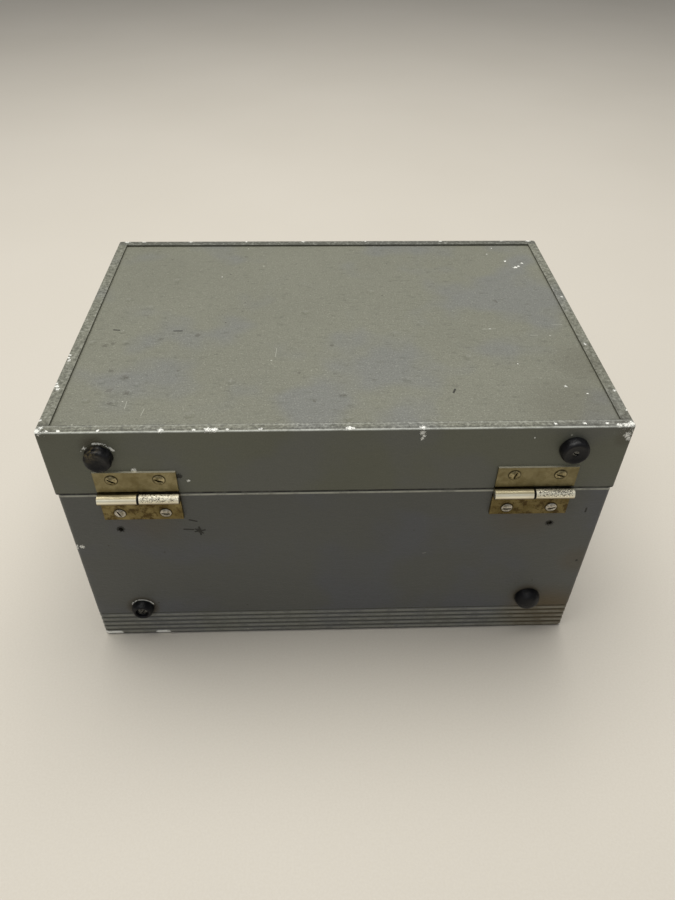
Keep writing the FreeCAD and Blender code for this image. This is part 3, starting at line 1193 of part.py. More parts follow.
def latch_loop(x, hand):
    """Closed wire loop in the lever's ears, leaning clear of the lid's keeper."""
    wires = []
    for step in (-1, 1):
        wires.append(rod(f"loop_side_{hand}{step + 1}", "bail_wire", "bail_reach",
                         (f"{step}*bail_half", "0", "0")))
    for height, label in (("0", "low"), ("bail_reach", "high")):
        wires.append(rod(f"loop_{label}_{hand}", "bail_wire", "2*bail_half",
                         ("-bail_half", "0", height), "x"))
        for step in (-1, 1):
            wires.append(ball(f"loop_knee_{label}_{hand}{step + 1}", "bail_wire",
                              (f"{step}*bail_half", "0", height)))
    bail = fuse(f"latch_bail_{hand}", wires)
    turn = math.radians(LEVER_RAISED)
    out = f"latch_inset*{math.cos(turn):.6f} - latch_throw*{math.sin(turn):.6f}"
    down = f"latch_inset*{math.sin(turn):.6f} + latch_throw*{math.cos(turn):.6f}"
    at = (x, f"{LATCH_Y} + {out}", f"latch_height - ({down})")
    keep(place(bail, at, Rotation(Vector(1, 0, 0), BAIL_LEAN)), f"latch_bail_{hand}")


def latch_keeper(x, hand):
    """Shelf on the lid that the loop's top bar rests on when the latch is made."""
    shelf_top = "(latch_height - latch_throw + bail_reach - bail_wire - loop_slack)"
    base = slab(f"keeper_plate_{hand}", ("keeper_width", "plate", "keeper_height"),
                (x, f"{LID_FRONT} - plate/2", f"{shelf_top} + keeper_rise"))
    shelf = slab(f"keeper_shelf_{hand}", ("keeper_width", "shelf_depth", "shelf_height"),
                 (x, f"{LID_FRONT} - shelf_depth/2", f"{shelf_top} - shelf_height/2"))
    return fuse(f"latch_keeper_{hand}", [base, shelf])


def make_latches():
    """Two draw latches, let go: each lever is raised and its loop hangs free."""
    bases, keepers = [], []
    for side, hand in HANDS:
        x = f"{side}*latch_offset"
        bases.extend(latch_base(x, hand))
        latch_lever(x, hand)
        latch_loop(x, hand)
        keepers.append(latch_keeper(x, hand))
    keep(group("latch_bases", bases), "latch_bases")
    keep(group("latch_keepers", keepers), "latch_keepers")


# ---------------------------------------------------------------- build, check and write
def make_projector():
    make_case_body()
    make_lid()
    make_hinges()
    make_standing_feet()
    make_deck()
    make_deck_pillars()
    make_stage()
    make_lamp_house()
    make_lamp()
    make_reflector()
    make_condenser()
    make_fan()
    make_motor()
    make_well()
    make_switch()
    make_inlet()
    make_post()
    make_rack()
    make_carriage()
    make_pinion()
    make_focus_knob()
    make_arm()
    make_lens()
    make_cradle()
    make_mirror()
    make_handle()
    make_handle_brackets()
    make_latches()


def check_and_write():
    doc.recompute()
    for item in doc.Objects:
        if {"Invalid", "Error"} & set(item.State):
            raise RuntimeError(f"{item.Label} failed: {item.State}")
    for item in nodes:
        if item.Shape.isNull() or not item.Shape.isValid() or not item.Shape.Solids:
            raise RuntimeError(f"{item.Label} has no valid solid")
    os.makedirs("parts", exist_ok=True)
    for item in nodes:
        item.Shape.exportStep(f"parts/{item.Label}.step")


make_projector()
check_and_write()
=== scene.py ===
"""Looks of the overhead projector: its paints, metals, rubber and glass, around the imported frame.

Metres in the row frame: +Z up, hinges and rubber feet at the back (+Y), handle and latches at
the front.
"""

import math

import bmesh
import bpy
from mathutils import Matrix, Vector, noise


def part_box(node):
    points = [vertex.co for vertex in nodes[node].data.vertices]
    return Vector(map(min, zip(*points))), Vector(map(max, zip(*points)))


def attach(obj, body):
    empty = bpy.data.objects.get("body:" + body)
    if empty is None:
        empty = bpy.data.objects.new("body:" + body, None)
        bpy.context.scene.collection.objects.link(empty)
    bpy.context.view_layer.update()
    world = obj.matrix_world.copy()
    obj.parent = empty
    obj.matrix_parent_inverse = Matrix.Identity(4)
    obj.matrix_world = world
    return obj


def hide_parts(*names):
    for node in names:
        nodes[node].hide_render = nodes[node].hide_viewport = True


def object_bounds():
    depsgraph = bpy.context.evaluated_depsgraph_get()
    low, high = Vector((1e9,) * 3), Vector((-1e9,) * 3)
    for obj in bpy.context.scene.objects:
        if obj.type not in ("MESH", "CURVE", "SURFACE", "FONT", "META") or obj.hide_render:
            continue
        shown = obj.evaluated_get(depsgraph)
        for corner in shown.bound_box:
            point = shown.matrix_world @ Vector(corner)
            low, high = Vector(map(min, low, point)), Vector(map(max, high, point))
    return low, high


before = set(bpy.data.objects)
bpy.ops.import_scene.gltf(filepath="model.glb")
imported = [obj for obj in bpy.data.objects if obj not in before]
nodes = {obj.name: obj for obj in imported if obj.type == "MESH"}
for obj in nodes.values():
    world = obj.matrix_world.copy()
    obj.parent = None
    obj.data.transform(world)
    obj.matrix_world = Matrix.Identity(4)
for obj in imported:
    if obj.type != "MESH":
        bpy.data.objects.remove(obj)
cad_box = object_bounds()
MM = 0.001


# ---------------------------------------------------------------- building a procedural finish
def shade(red, green, blue):
    """Linear colour of a paint chart value from 0 to 255."""
    def linear(part):
        part /= 255
        return part / 12.92 if part <= 0.04045 else ((part + 0.055) / 1.055) ** 2.4
    return (linear(red), linear(green), linear(blue), 1.0)


BARE = shade(228, 228, 220)
# a brown painted shade for the corners of enamel
CORNER_SHADE = shade(50, 42, 30)
BACK_FACES = 125.5 * MM    # the back faces of the lid and of the case both lie behind this


class Finish:
    """One material, with short calls for the nodes that its pattern is made of.

    Masks are 1 where something shows and 0 elsewhere.  A seed picks another stretch of a pattern.
    """

    def __init__(self, name, **sockets):
        self.material = bpy.data.materials.new(name)
        self.material.use_nodes = True
        self.tree = self.material.node_tree
        self.shader = self.tree.nodes["Principled BSDF"]
        where = self.tree.nodes.new("ShaderNodeTexCoord")
        self.place = where.outputs["Object"]
        self.facing = where.outputs["Normal"]
        self.colour = None
        self.relief = None
        for word, value in sockets.items():
            self.socket(word).default_value = value

    def socket(self, word):
        """The shader's own input of that name, written in small letters and underscores."""
        names = {item.name.lower().replace(" ", "_"): item for item in self.shader.inputs}
        return names[word]

    def node(self, kind, feeds=(), **settings):
        item = self.tree.nodes.new(kind)
        for word, value in settings.items():
            setattr(item, word, value)
        for key, value in dict(feeds).items():
            self.feed(item.inputs[key], value)
        return item

    def feed(self, socket, value):
        if isinstance(value, bpy.types.NodeSocket):
            self.tree.links.new(value, socket)
        else:
            socket.default_value = value

    # numbers and vectors
    def calc(self, operation, first, second=0.0, third=0.0):
        item = self.node("ShaderNodeMath", {0: first, 1: second, 2: third}, operation=operation)
        return item.outputs[0]

    def vector(self, operation, first, second):
        item = self.node("ShaderNodeVectorMath", {0: first, 1: second}, operation=operation)
        return item.outputs["Value" if operation in ("DISTANCE", "DOT_PRODUCT") else "Vector"]

    def length(self, vector):
        return self.node("ShaderNodeVectorMath", {0: vector}, operation="LENGTH").outputs["Value"]

    def parts(self, vector):
        return self.node("ShaderNodeSeparateXYZ", {0: vector}).outputs

    def gap(self, value, at):
        """Distance of a coordinate from a plane."""
        return self.calc("ABSOLUTE", self.calc("SUBTRACT", value, at))

    def ramp(self, value, low, high, to_low=0.0, to_high=1.0):
        """Smooth step from to_low to to_high as the value goes from low to high."""
        item = self.node("ShaderNodeMapRange", {
            0: value, 1: low, 2: high, 3: to_low, 4: to_high}, interpolation_type="SMOOTHSTEP")
        return item.outputs[0]

    # masks
    def both(self, first, second):
        return self.calc("MULTIPLY", first, second)

    def either(self, first, second):
        """Either mask; the first may still be None, for a list that starts empty."""
        return second if first is None else self.calc("MAXIMUM", first, second)

    def edge(self, radius, low=0.02, high=0.2):
        """1 on the object's outer and inner edges, 0 on its flats."""
        soft = self.node("ShaderNodeBevel", {"Radius": radius}, samples=6).outputs[0]
        plain = self.node("ShaderNodeNewGeometry").outputs["Normal"]
        turned = self.calc("SUBTRACT", 1.0, self.vector("DOT_PRODUCT", soft, plain))
        return self.ramp(turned, low, high)

    def hollow(self, reach):
        """1 deep in the object's own corners, 0 in the open."""
        item = self.node("ShaderNodeAmbientOcclusion", {"Distance": reach}, only_local=True,
                         samples=6)
        return self.ramp(item.outputs["AO"], 0.85, 0.35)

    # patterns
    def moved(self, stretch=(1, 1, 1), seed=0.0):
        """The place, stretched and shifted."""
        item = self.node("ShaderNodeMapping", {
            "Vector": self.place, "Scale": stretch, "Location": (seed, seed * 0.7, seed * 1.3)})
        return item.outputs["Vector"]

    def noise(self, size, detail=2.0, roughness=0.5, at=None):
        """Soft noise whose lumps are about that many metres across."""
        item = self.node("ShaderNodeTexNoise", {
            "Vector": at or self.place, "Scale": 1 / size, "Detail": detail,
            "Roughness": roughness})
        return item.outputs[0]

    def cells(self, size, at, output="Distance"):
        """Cells of that size: the distance from each one's middle, or its own colour."""
        item = self.node("ShaderNodeTexVoronoi", {"Vector": at, "Scale": 1 / size})
        return item.outputs[output]

    # colour, relief and the finished material
    def mix(self, factor, first, second):
        """The first colour where the factor is 0, the second where it is 1."""
        item = self.node("ShaderNodeMix", data_type="RGBA")
        self.feed(item.inputs[0], factor)
        self.feed(item.inputs[6], first)
        self.feed(item.inputs[7], second)
        return item.outputs[2]

    def cover(self, mask, ink):
        """Lay a colour over the finish so far."""
        self.colour = self.mix(mask, self.colour, ink)

    def bump(self, height, depth):
        feeds = {"Height": height, "Distance": depth, "Strength": 1.0}
        if self.relief is not None:
            feeds["Normal"] = self.relief
        self.relief = self.node("ShaderNodeBump", feeds).outputs[0]

    def done(self, **drives):
        self.feed(self.socket("base_color"), self.colour)
        for word, value in drives.items():
            self.feed(self.socket(word), value)
        self.feed(self.socket("normal"), self.relief)
        return self.material


# ---------------------------------------------------------------- marks at stated places
def spots(f, centres, ragged=0.95, grain=1.0 * MM):
    """Ragged spots.  Each centre is x, y, z and a radius, in millimetres."""
    wobble = f.noise(grain, 4.0, 0.75)
    swing = 2.6 * ragged
    found = None
    for x, y, z, radius in centres:
        away = f.vector("DISTANCE", f.place, (x * MM, y * MM, z * MM))
        limit = f.calc("MULTIPLY_ADD", wobble, 2 * swing * radius * MM, (1 - swing) * radius * MM)
        found = f.either(found, f.calc("LESS_THAN", away, limit))
    return found


def soft_spot(f, x, y, z, radius, core=0.3):
    """A round spot that fades out from its core, a share of the radius in millimetres."""
    away = f.vector("DISTANCE", f.place, (x * MM, y * MM, z * MM))
    return f.ramp(away, radius * MM, radius * core * MM)


def dashes(f, lines, width=0.35 * MM):
    """Thin scratches.  Each line is its two ends in millimetres."""
    found = None
    for first, last in lines:
        start = Vector(first) * MM
        run = Vector(last) * MM - start
        way = tuple(run.normalized())
        offset = f.vector("SUBTRACT", f.place, tuple(start))
        along = f.calc("MAXIMUM", f.vector("DOT_PRODUCT", offset, way), 0.0)
        along = f.calc("MINIMUM", along, run.length)
        nearest = f.node("ShaderNodeVectorMath", {0: way, "Scale": along},
                         operation="SCALE").outputs["Vector"]
        away = f.vector("DISTANCE", offset, nearest)
        found = f.either(found, f.ramp(away, width, width * 0.4))
    return found


def arc(f, x, z, inner, outer, lowest, ragged):
    """A broken arc on the back, round a point and above a height, all in millimetres."""
    flat = f.vector("MULTIPLY", f.place, (1, 0, 1))
    away = f.vector("DISTANCE", flat, (x * MM, 0, z * MM))
    wobble = f.calc("MULTIPLY_ADD", f.noise(1.5 * MM, 4.0, 0.75), ragged * MM, away)
    band = f.both(f.calc("GREATER_THAN", wobble, (inner + ragged / 2) * MM),
                  f.calc("LESS_THAN", wobble, (outer + ragged / 2) * MM))
    behind, high = (f.parts(f.place)[i] for i in (1, 2))
    there = f.both(f.calc("GREATER_THAN", behind, BACK_FACES),
                   f.calc("GREATER_THAN", high, (z + lowest) * MM))
    missing = 0.47 if ragged > 1 else 0.36
    unbroken = f.calc("GREATER_THAN", f.noise(4 * MM, 2.0, 0.6, at=f.moved(seed=1)), missing)
    return f.both(f.both(band, there), unbroken)


# ---------------------------------------------------------------- the paint of lid and case
class WornPaint(Finish):
    """Fine textured olive-grey enamel: lighter on top with dust and painted light, chipped to bare
    metal on edges.
    """

    def __init__(self, name, marks):
        super().__init__(name, specular_ior_level=0.35)
        self.marks = marks
        self.x, self.y, self.z = (self.parts(self.place)[i] for i in range(3))
        self.up = self.ramp(self.parts(self.facing)[2], 0.35, 0.9)

    def tones(self):
        """Uneven tone of the sides and of the top, lighter with dust and painted light, with bluish
        clouds.
        """
        marks = self.marks
        tone = self.noise(85 * MM, 3.0, 0.55, at=self.moved(seed=marks["seed"]))
        cloud = self.noise(55 * MM, 2.0, 0.5, at=self.moved(seed=marks["seed"] + 3))
        cloud = self.ramp(cloud, 0.45, 0.64)
        side = self.mix(tone, marks["side_dark"], marks["side_light"])
        side = self.mix(self.both(cloud, marks["side_blue_share"]), side, marks["side_blue"])
        # the top's tones are lighter than the sides': dust, and painted light from above
        top_dust_and_light = self.mix(tone, shade(110, 110, 97), shade(120, 120, 106))
        top_dust_and_light = self.mix(self.both(cloud, 0.5), top_dust_and_light, shade(108, 110, 112))
        self.colour = self.mix(self.up, side, top_dust_and_light)
        far = self.ramp(self.y, marks["far_rim"] + 0.2 * MM, marks["far_rim"] - 0.2 * MM)
        self.cover(self.both(far, 0.72), shade(74, 74, 68))
        return tone

    def texture(self):
        """Grain of the paint itself, and the speckle and bruises that dust brings out on top."""
        grain = self.noise(0.9 * MM, 2.0, 0.6)
        share = self.calc("MULTIPLY_ADD", self.up, 0.2, 0.14)
        self.cover(self.both(self.ramp(grain, 0.3, 0.7), share), shade(60, 60, 50))
        speckle = self.noise(1.1 * MM, 3.0, 0.8, at=self.moved(seed=9))
        share = self.calc("MULTIPLY_ADD", self.up, 0.31, 0.03)
        self.cover(self.both(self.ramp(speckle, 0.56, 0.7), share), shade(176, 176, 162))
        wrinkle = self.noise(3.4 * MM, 3.0, 0.7, at=self.moved(stretch=(0.45, 1, 1), seed=5))
        share = self.calc("MULTIPLY_ADD", self.up, 0.42, 0.04)
        self.cover(self.both(self.ramp(wrinkle, 0.54, 0.74), share), shade(78, 78, 68))
        bruise = self.noise(11 * MM, 3.0, 0.75, at=self.moved(stretch=(0.7, 1, 1), seed=11))
        self.cover(self.both(self.ramp(bruise, 0.6, 0.76), self.both(self.up, 0.3)),
                   shade(80, 80, 70))
        return grain, wrinkle

    def scuffed_rim(self):
        """The raised rim round the panel is scuffed all over."""
        above = self.marks["panel"] * MM
        rim = self.both(self.up, self.ramp(self.z, above + 0.5 * MM, above + 1.2 * MM))
        scuff = self.noise(2.2 * MM, 4.0, 0.75, at=self.moved(seed=12))
        self.cover(self.both(self.ramp(scuff, 0.5, 0.6), self.both(rim, 0.66)), shade(68, 68, 60))
        self.cover(self.both(self.ramp(scuff, 0.46, 0.38), self.both(rim, 0.45)),
                   shade(158, 158, 148))

    def specks(self):
        """Small dirt specks and pale nicks, scattered and sparse."""
        shifted = self.moved(seed=2)
        away = self.cells(13 * MM, shifted)
        lot = self.parts(self.cells(13 * MM, shifted, output="Color"))[0]
        dark = self.both(self.calc("LESS_THAN", away, 0.055), self.calc("GREATER_THAN", lot, 0.72))
        pale = self.both(self.calc("LESS_THAN", away, 0.045), self.calc("LESS_THAN", lot, 0.16))
        self.cover(self.both(dark, 0.75), shade(58, 54, 46))
        self.cover(self.both(pale, 0.6), shade(190, 190, 178))

    def shade_and_grime(self):
        """Painted shade in the corners, darker towards the bottom, grime in stated stains, and
        darker halos round the feet.
        """
        marks = self.marks
        # painted shade in the shell's own corners and creases
        shade_and_dirt = self.both(self.hollow(5 * MM), 0.55)
        # darker and browner towards the bottom
        low = self.ramp(self.z, marks["darkening_top"], marks["darkening_foot"], 0.0, marks["darkening_share"])
        patchy = self.ramp(self.noise(30 * MM, 3.0, 0.6, at=self.moved(seed=4)), 0.35, 0.7, 0.15)
        shade_and_dirt = self.either(shade_and_dirt, self.both(low, patchy))
        for *place, share in marks["stains"]:
            shade_and_dirt = self.either(shade_and_dirt, self.both(soft_spot(self, *place), share))
        self.cover(shade_and_dirt, marks["shade_and_grime"])
        # darker halos round the feet
        for *place, share in marks["halos"]:
            self.cover(self.both(soft_spot(self, *place, core=0.6), share), shade(44, 38, 26))

    def rubs_and_painted_lines(self):
        """A thin rub along every edge, then the stated lines of painted highlight and painted shade.
        """
        patchy = self.noise(7 * MM, 3.0, 0.7, at=self.moved(seed=6))
        patchy = self.ramp(patchy, 0.34, 0.66, 0.05, 0.5)
        self.cover(self.both(self.edge(0.9 * MM, 0.04, 0.2), patchy), shade(150, 150, 138))
        # the stated lines: painted highlights, painted shade, and painted shadow in the seam
        for (line_y, line_z, half), ink, share in self.marks["lines"]:
            line = 1.0
            for coordinate, at in ((self.y, line_y), (self.z, line_z)):
                if at is not None:
                    off = self.gap(coordinate, at * MM)
                    line = self.both(line, self.ramp(off, half * MM, half * 0.4 * MM))
            uneven = self.noise(9 * MM, 3.0, 0.7, at=self.moved(seed=8))
            uneven = self.ramp(uneven, 0.3, 0.6, 0.45, 1.0)
            self.cover(self.both(self.both(line, uneven), share), ink)

    def bare_metal(self):
        """Ragged chips at stated places, flaking corners, and a pale broken arc over each foot,
        partly chipped paint and partly a painted highlight.
        """
        marks = self.marks
        chips_and_glints = spots(self, marks["chips"])
        # the arcs over the feet are chipped paint with a painted highlight along their upper side
        for around in marks["arcs"]:
            chips_and_glints = self.either(chips_and_glints, arc(self, *around))
        for box, amount in marks["flaking"]:
            near = 1.0
            for coordinate, (start, full) in zip((self.x, self.y, self.z), box):
                near = self.both(near, self.ramp(coordinate, start * MM, full * MM))
            flakes = self.calc("MULTIPLY_ADD", near, amount, self.noise(1.5 * MM, 5.0, 0.85))
            flakes = self.calc("GREATER_THAN", flakes, 0.74)
            chips_and_glints = self.either(chips_and_glints, self.both(flakes, self.calc("GREATER_THAN", near, 0.02)))
        self.cover(chips_and_glints, BARE)
        if marks["scuffs"]:
            uneven = self.calc("GREATER_THAN", self.noise(1.6 * MM, 4.0, 0.7), 0.38)
            self.cover(self.both(dashes(self, marks["scuffs"], 2.8 * MM), uneven),
                       shade(255, 255, 248))
        pits = self.noise(1.3 * MM, 4.0, 0.8, at=self.moved(seed=13))
        pits = self.calc("GREATER_THAN", pits, 0.56)
        self.cover(self.both(self.both(chips_and_glints, pits), 0.65), shade(60, 56, 48))
        return chips_and_glints

    def scratches(self):
        """Smudges, pale hair scratches, and dark scores and pits."""
        marks = self.marks
        if marks["smudges"]:
            smudge = spots(self, marks["smudges"], ragged=1.0, grain=2 * MM)
            self.cover(self.both(smudge, 0.5), shade(70, 68, 58))
        pale = dashes(self, marks["pale_scratches"])
        self.cover(self.both(pale, 0.4), shade(186, 186, 174))
        scored = self.either(dashes(self, marks["dark_scratches"], 0.9 * MM),
                             spots(self, marks["pits"], ragged=0.6))
        self.cover(self.both(scored, 0.9), shade(18, 17, 10))
        return self.either(scored, pale)

    def surface(self, grain, wrinkle, cut):
        """Soft waves in the sheet, grain and orange peel, dents, and the chips cut in."""
        self.bump(self.noise(60 * MM, 1.0, 0.4, at=self.moved(seed=7)), 0.9 * MM)
        self.bump(grain, 0.16 * MM)
        self.bump(wrinkle, 0.4 * MM)
        dents = None
        for x, y, radius in self.marks["dents"]:
            dents = self.either(dents, soft_spot(self, x, y, self.marks["panel"], radius, 0.1))
        if dents is not None:
            self.bump(self.calc("SUBTRACT", 1.0, dents), 0.7 * MM)
        self.bump(self.calc("SUBTRACT", 1.0, cut), 0.12 * MM)


def worn_paint(name, marks):
    """The paint of one shell, laid on from its tones to its scratches."""
    f = WornPaint(name, marks)
    tone = f.tones()
    grain, wrinkle = f.texture()
    f.scuffed_rim()
    f.specks()
    f.shade_and_grime()
    f.rubs_and_painted_lines()
    chips_and_glints = f.bare_metal()
    scratch = f.scratches()
    f.surface(grain, wrinkle, f.either(chips_and_glints, scratch))
    rough = f.calc("MULTIPLY_ADD", tone, 0.14, 0.44)
    return f.done(roughness=f.calc("SUBTRACT", rough, f.both(chips_and_glints, 0.1)))


# Each shell's marks, placed in millimetres.  chips, pits and smudges are x, y, z, radius; stains and
# halos add a share; lines are (y, z, half width), colour, share; arcs are x, z, inner and outer
# radius, lowest height above z, raggedness; flaking is where it starts and is full along x, y and
# z, then its amount; scuffs and scratches are two ends; dents are x, y, radius on the panel.
# far_rim and the top and foot of the darkening towards the bottom are heights or places in metres.
def lid_marks():
    low, high = (tuple(v / MM for v in corner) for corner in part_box("lid_shell"))
    top, rear, foot = high[2], high[1], low[2]
    left = high[0]        # left and right are as seen from behind
    panel = top - 1.5
    inner = rear - 7.0    # the rim's inner edge
    # the back edge: small chips, larger ones, and three further in on the rim
    chips = [(x, rear - 1.5, top, 1) for x in (171, 164, 141, 85, 65.5, 46, -5, -8.5)]
    chips += [(x, rear - 1.5, top, 1.5) for x in (104.5, 77.5, 75.5, 73, -6.5, -50, -168, -173)]
    chips += [(x, rear - 3.5, top, 1) for x in (-130, -147.5, -161)]
    chips += [(-50, rear, top - 3, 1.5), (-51, rear, top - 5.5, 1), (-50, rear, top - 7.5, 1),
              (-174, rear, top - 6.5, 2), (-175.5, rear, top - 9, 1.5),
              (-176.5, rear - 1, top - 4, 1), (-118, rear, top - 8, 0.5)]
    # the left and right rims
    chips += [(left - 1, 49, top, 1), (left - 2, 52, top, 1), (left - 1, 46, top, 1),
              (left - 1.5, 81, top, 1.5), (left - 3, 84, top, 1), (left - 0.5, 78, top, 1),
              (left - 1, 115, top, 1), (left - 3, 122, top, 1), (left - 1, 125, top, 2)]
    chips += [(-left + 3, -29, top, 1), (-left + 4.5, 37, top, 1), (-left + 1.5, 91, top, 1),
              (-left + 0.5, 111, top, 1), (-left + 2, 124, top, 2), (-left + 6, 125, top, 1.5)]
    # the front edge and its corners
    front = -rear
    chips += [(x, front + 0.5, top, 1) for x in (-149, -31, 71)]
    chips += [(x, front + 0.5, top, 1.5) for x in (-96, 22, 118, 157)]
    chips += [(x, front + 0.5, top, 2) for x in (-172, 171)]
    # nicks in the panel
    chips += [(-138, -115, panel, 0.5), (-132, -104, panel, 0.5), (-145, -91, panel, 1),
              (-151, -80, panel, 1.5), (-154, -82, panel, 1), (-158, -87, panel, 1),
              (-147, 84, panel, 1), (-122, 58, panel, 0.5), (-159, 92, panel, 0.5),
              (86, -66, panel, 0.5), (-112, 14, panel, 0.5), (125, rear, 173, 1.5),
              (93, rear, 163.5, 1)]
    # pale painted highlight, dark painted shade, and darker painted shadow for the seam
    painted_highlight, shadow = shade(206, 208, 200), shade(34, 34, 28)
    seam_shadow = shade(16, 15, 11)
    return {
        "seed": 0.3, "panel": panel, "far_rim": -inner * MM,
        "side_dark": shade(88, 89, 76), "side_light": shade(101, 102, 88),
        "side_blue": shade(94, 95, 93), "side_blue_share": 0.5,
        # the grime colour also paints shade in the corners
        "shade_and_grime": shade(64, 58, 44), "darkening_top": 0.1, "darkening_foot": 0.09, "darkening_share": 0.7,
        "stains": [(146, rear, 193, 10, 0.6), (-173, rear, 194, 9, 0.35),
                   (-148, 104, panel, 40, 0.2), (-166, 60, top, 30, 0.2), (-175, 122, top, 14, 0.3),
                   (172, 122, top, 12, 0.2)],
        # outer edge: painted highlight and rubbed paint; painted shade in the fine bead line beside
        # it; painted highlight on the rim's inner edge; painted shade in its crease; painted shadow
        # in the seam
        "lines": [((rear - 0.2, top - 0.2, 0.8), painted_highlight, 0.6),
                  ((rear - 2.0, top, 0.7), shadow, 0.45),
                  ((inner + 1.2, top, 0.6), painted_highlight, 0.16),
                  ((inner - 0.4, None, 1.0), shadow, 0.45),
                  ((None, foot, 1.4), seam_shadow, 1.0)],
        "chips": chips,
        "arcs": [(143.5, 185, 9, 10.5, 3.5, 3)], "scuffs": [], "halos": [],
        "flaking": [(((-156, -178), (112, 127), (186, 203)), 0.2),
                    (((164, 178), (116, 127), (197, 203)), 0.25),
                    (((172.5, 178), (40, 127), (201, 203)), 0.15),
                    (((-170, -178), (60, 127), (201, 203)), 0.15)],
        "pale_scratches": [((39.5, 37, panel), (40, 47.5, panel)),
                           ((130, 95, panel), (130, 103, panel)),
                           ((118, 103, panel), (119, 110, panel)),
                           ((-106, 14.5, panel), (-116, 14, panel)),
                           ((-158, 9, panel), (-165, 9, panel)),
                           ((-139, 23, panel), (-144, 23, panel)),
                           ((66, -121.5, top), (64, -125, top))],
        "dark_scratches": [((112.5, 14, panel), (107, 14, panel)),
                           ((155, 12, panel), (151, 12.5, panel)),
                           ((-75.5, 86, panel), (-74, 89.5, panel))],
        "pits": [(98.5, rear, 167.5, 2)],
        "smudges": [(2, 34, panel, 1.5), (24, 66, panel, 1), (14, 97, panel, 1),
                    (103, 63, panel, 1), (157, 32, panel, 2), (152, 30, panel, 1.5),
                    (129, -96, panel, 1), (69, -101, panel, 1.5), (-46, -88, panel, 1),
                    (-124, -25, panel, 1.5), (-4, 91, panel, 1.5), (136, 69, panel, 2),
                    (143, 84, panel, 2), (132, 87, panel, 2), (147, 62, panel, 1.5),
                    (140, 97, panel, 1.5), (95, 20, panel, 2), (120, 24, panel, 1.5)],
        "dents": [(136, 69, 5), (141, 86.5, 6), (130, 86.5, 4), (143.5, 29, 4), (166, 29, 3.5),
                  (134, -18.5, 4), (67.5, 76.5, 3.5), (-43, 20, 4), (-46, 75, 4), (148, 15, 3),
                  (-4, 91, 3.5), (-6, 115, 3), (152, -30, 4), (120, -60, 4), (-30, -40, 4),
                  (20, -10, 3.5), (-90, 50, 4), (90, 110, 4), (150, 75, 3), (127, 78, 3),
                  (138, 97, 3.5), (155, 95, 3)],
    }


def body_marks():
    low, high = (tuple(v / MM for v in corner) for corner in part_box("case_body"))
    rear, left, rim = high[1], high[0], high[2]
    creases = [1.0 + 5.1 * index for index in range(6)]    # between the beads of the foot band
    # pale painted highlight, dark painted shade, and darker painted shadow for the seam
    painted_highlight, shadow, seam_shadow = shade(176, 176, 162), shade(26, 25, 20), shade(16, 15, 11)
    foot_line = rear - 0.4, 2.4
    nowhere = -1.0
    return {
        "seed": 4.1, "panel": rim, "far_rim": nowhere,
        "side_dark": shade(79, 80, 76), "side_light": shade(90, 91, 87),
        "side_blue": shade(84, 86, 91), "side_blue_share": 0.7,
        # the grime colour also paints shade in the corners
        "shade_and_grime": shade(86, 73, 48), "darkening_top": 0.03, "darkening_foot": 0.0, "darkening_share": 0.25,
        "stains": [(142.5, rear, 34.5, 15, 0.6), (-142.5, rear, 39.5, 17, 0.65),
                   (-160, rear, 14, 45, 0.9), (-171, rear, 80, 18, 0.3),
                   (126, rear, 133, 34, 0.25), (-126, rear, 133, 34, 0.3)],
        # painted highlight on the rounded top edge, painted shadow in the seam, painted shade in the
        # creases between the beads, painted highlight on the bead crests
        "lines": [((rear - 0.5, rim - 1.3, 1.2), painted_highlight, 0.82), ((None, rim, 0.9), seam_shadow, 1.0)]
                 + [((None, z, 0.8), shadow, 0.5) for z in creases]
                 + [((None, z - 2.2, 1.7), painted_highlight, 0.33) for z in creases[1:]],
        "chips": [(left - 1.5, rear, 103.5, 1), (left - 5, rear, 102.5, 1.5),
                  (left - 1, rear - 0.5, 101, 1)],
        "arcs": [(142.5, 34.5, 8, 9, 3, 0.5)],
        "halos": [(142.5, rear, 34.5, 13, 0.75), (-142.5, rear, 39.5, 12, 0.5)],
        "scuffs": [((176, *foot_line), (165, *foot_line)), ((136, *foot_line), (129, *foot_line))],
        "flaking": [(((168, 178), (118, 127), (5, 0)), 0.3)],
        "pale_scratches": [((-60, rear, 90), (-62, rear, 90.5))],
        "dark_scratches": [((101.5, rear, 118.5), (95.5, rear, 118)),
                           ((91.5, rear, 120.5), (91, rear, 113)),
                           ((94.5, rear, 116), (88, rear, 117.5)),
                           ((94, rear, 118.5), (89.5, rear, 114.5)),
                           ((97, rear, 127.5), (92.5, rear, 126)),
                           ((-165, rear, 133), (-165, rear, 129.5))],
        "pits": [(143, rear, 119.5, 2.5), (-143, rear, 119.5, 2.5), (91.5, rear, 117, 2),
                 (-171, rear, 79.5, 1)],
        "smudges": [], "dents": [],
    }


# ---------------------------------------------------------------- the other finishes
def rubber(name):
    """Black rubber with painted shade in its hollows; one foot on the lid is worn to olive-brown on
    top.
    """
    f = Finish(name, specular_ior_level=0.22)
    smear = f.noise(6 * MM, 3.0, 0.6)
    f.colour = f.mix(f.ramp(smear, 0.35, 0.7), shade(10, 10, 12), shade(20, 20, 22))
    patchy = f.ramp(f.noise(3 * MM), 0.45, 0.7, 0.0, 0.4)
    f.cover(f.both(f.edge(0.8 * MM, 0.03, 0.25), patchy), shade(44, 45, 50))
    # painted shade in the hollows
    f.cover(f.both(f.hollow(3 * MM), 0.7), shade(6, 6, 6))
    worn = f.both(soft_spot(f, 147.5, 132.5, 191, 8, 0.2),
                  f.ramp(f.noise(3 * MM, 4.0, 0.7), 0.4, 0.6))
    f.cover(f.both(worn, 0.75), shade(92, 82, 58))
    f.bump(smear, 0.5 * MM)
    f.bump(f.noise(0.5 * MM, 2.0, 0.6), 0.1 * MM)
    return f.done(roughness=f.calc("MULTIPLY_ADD", smear, 0.24, 0.3))


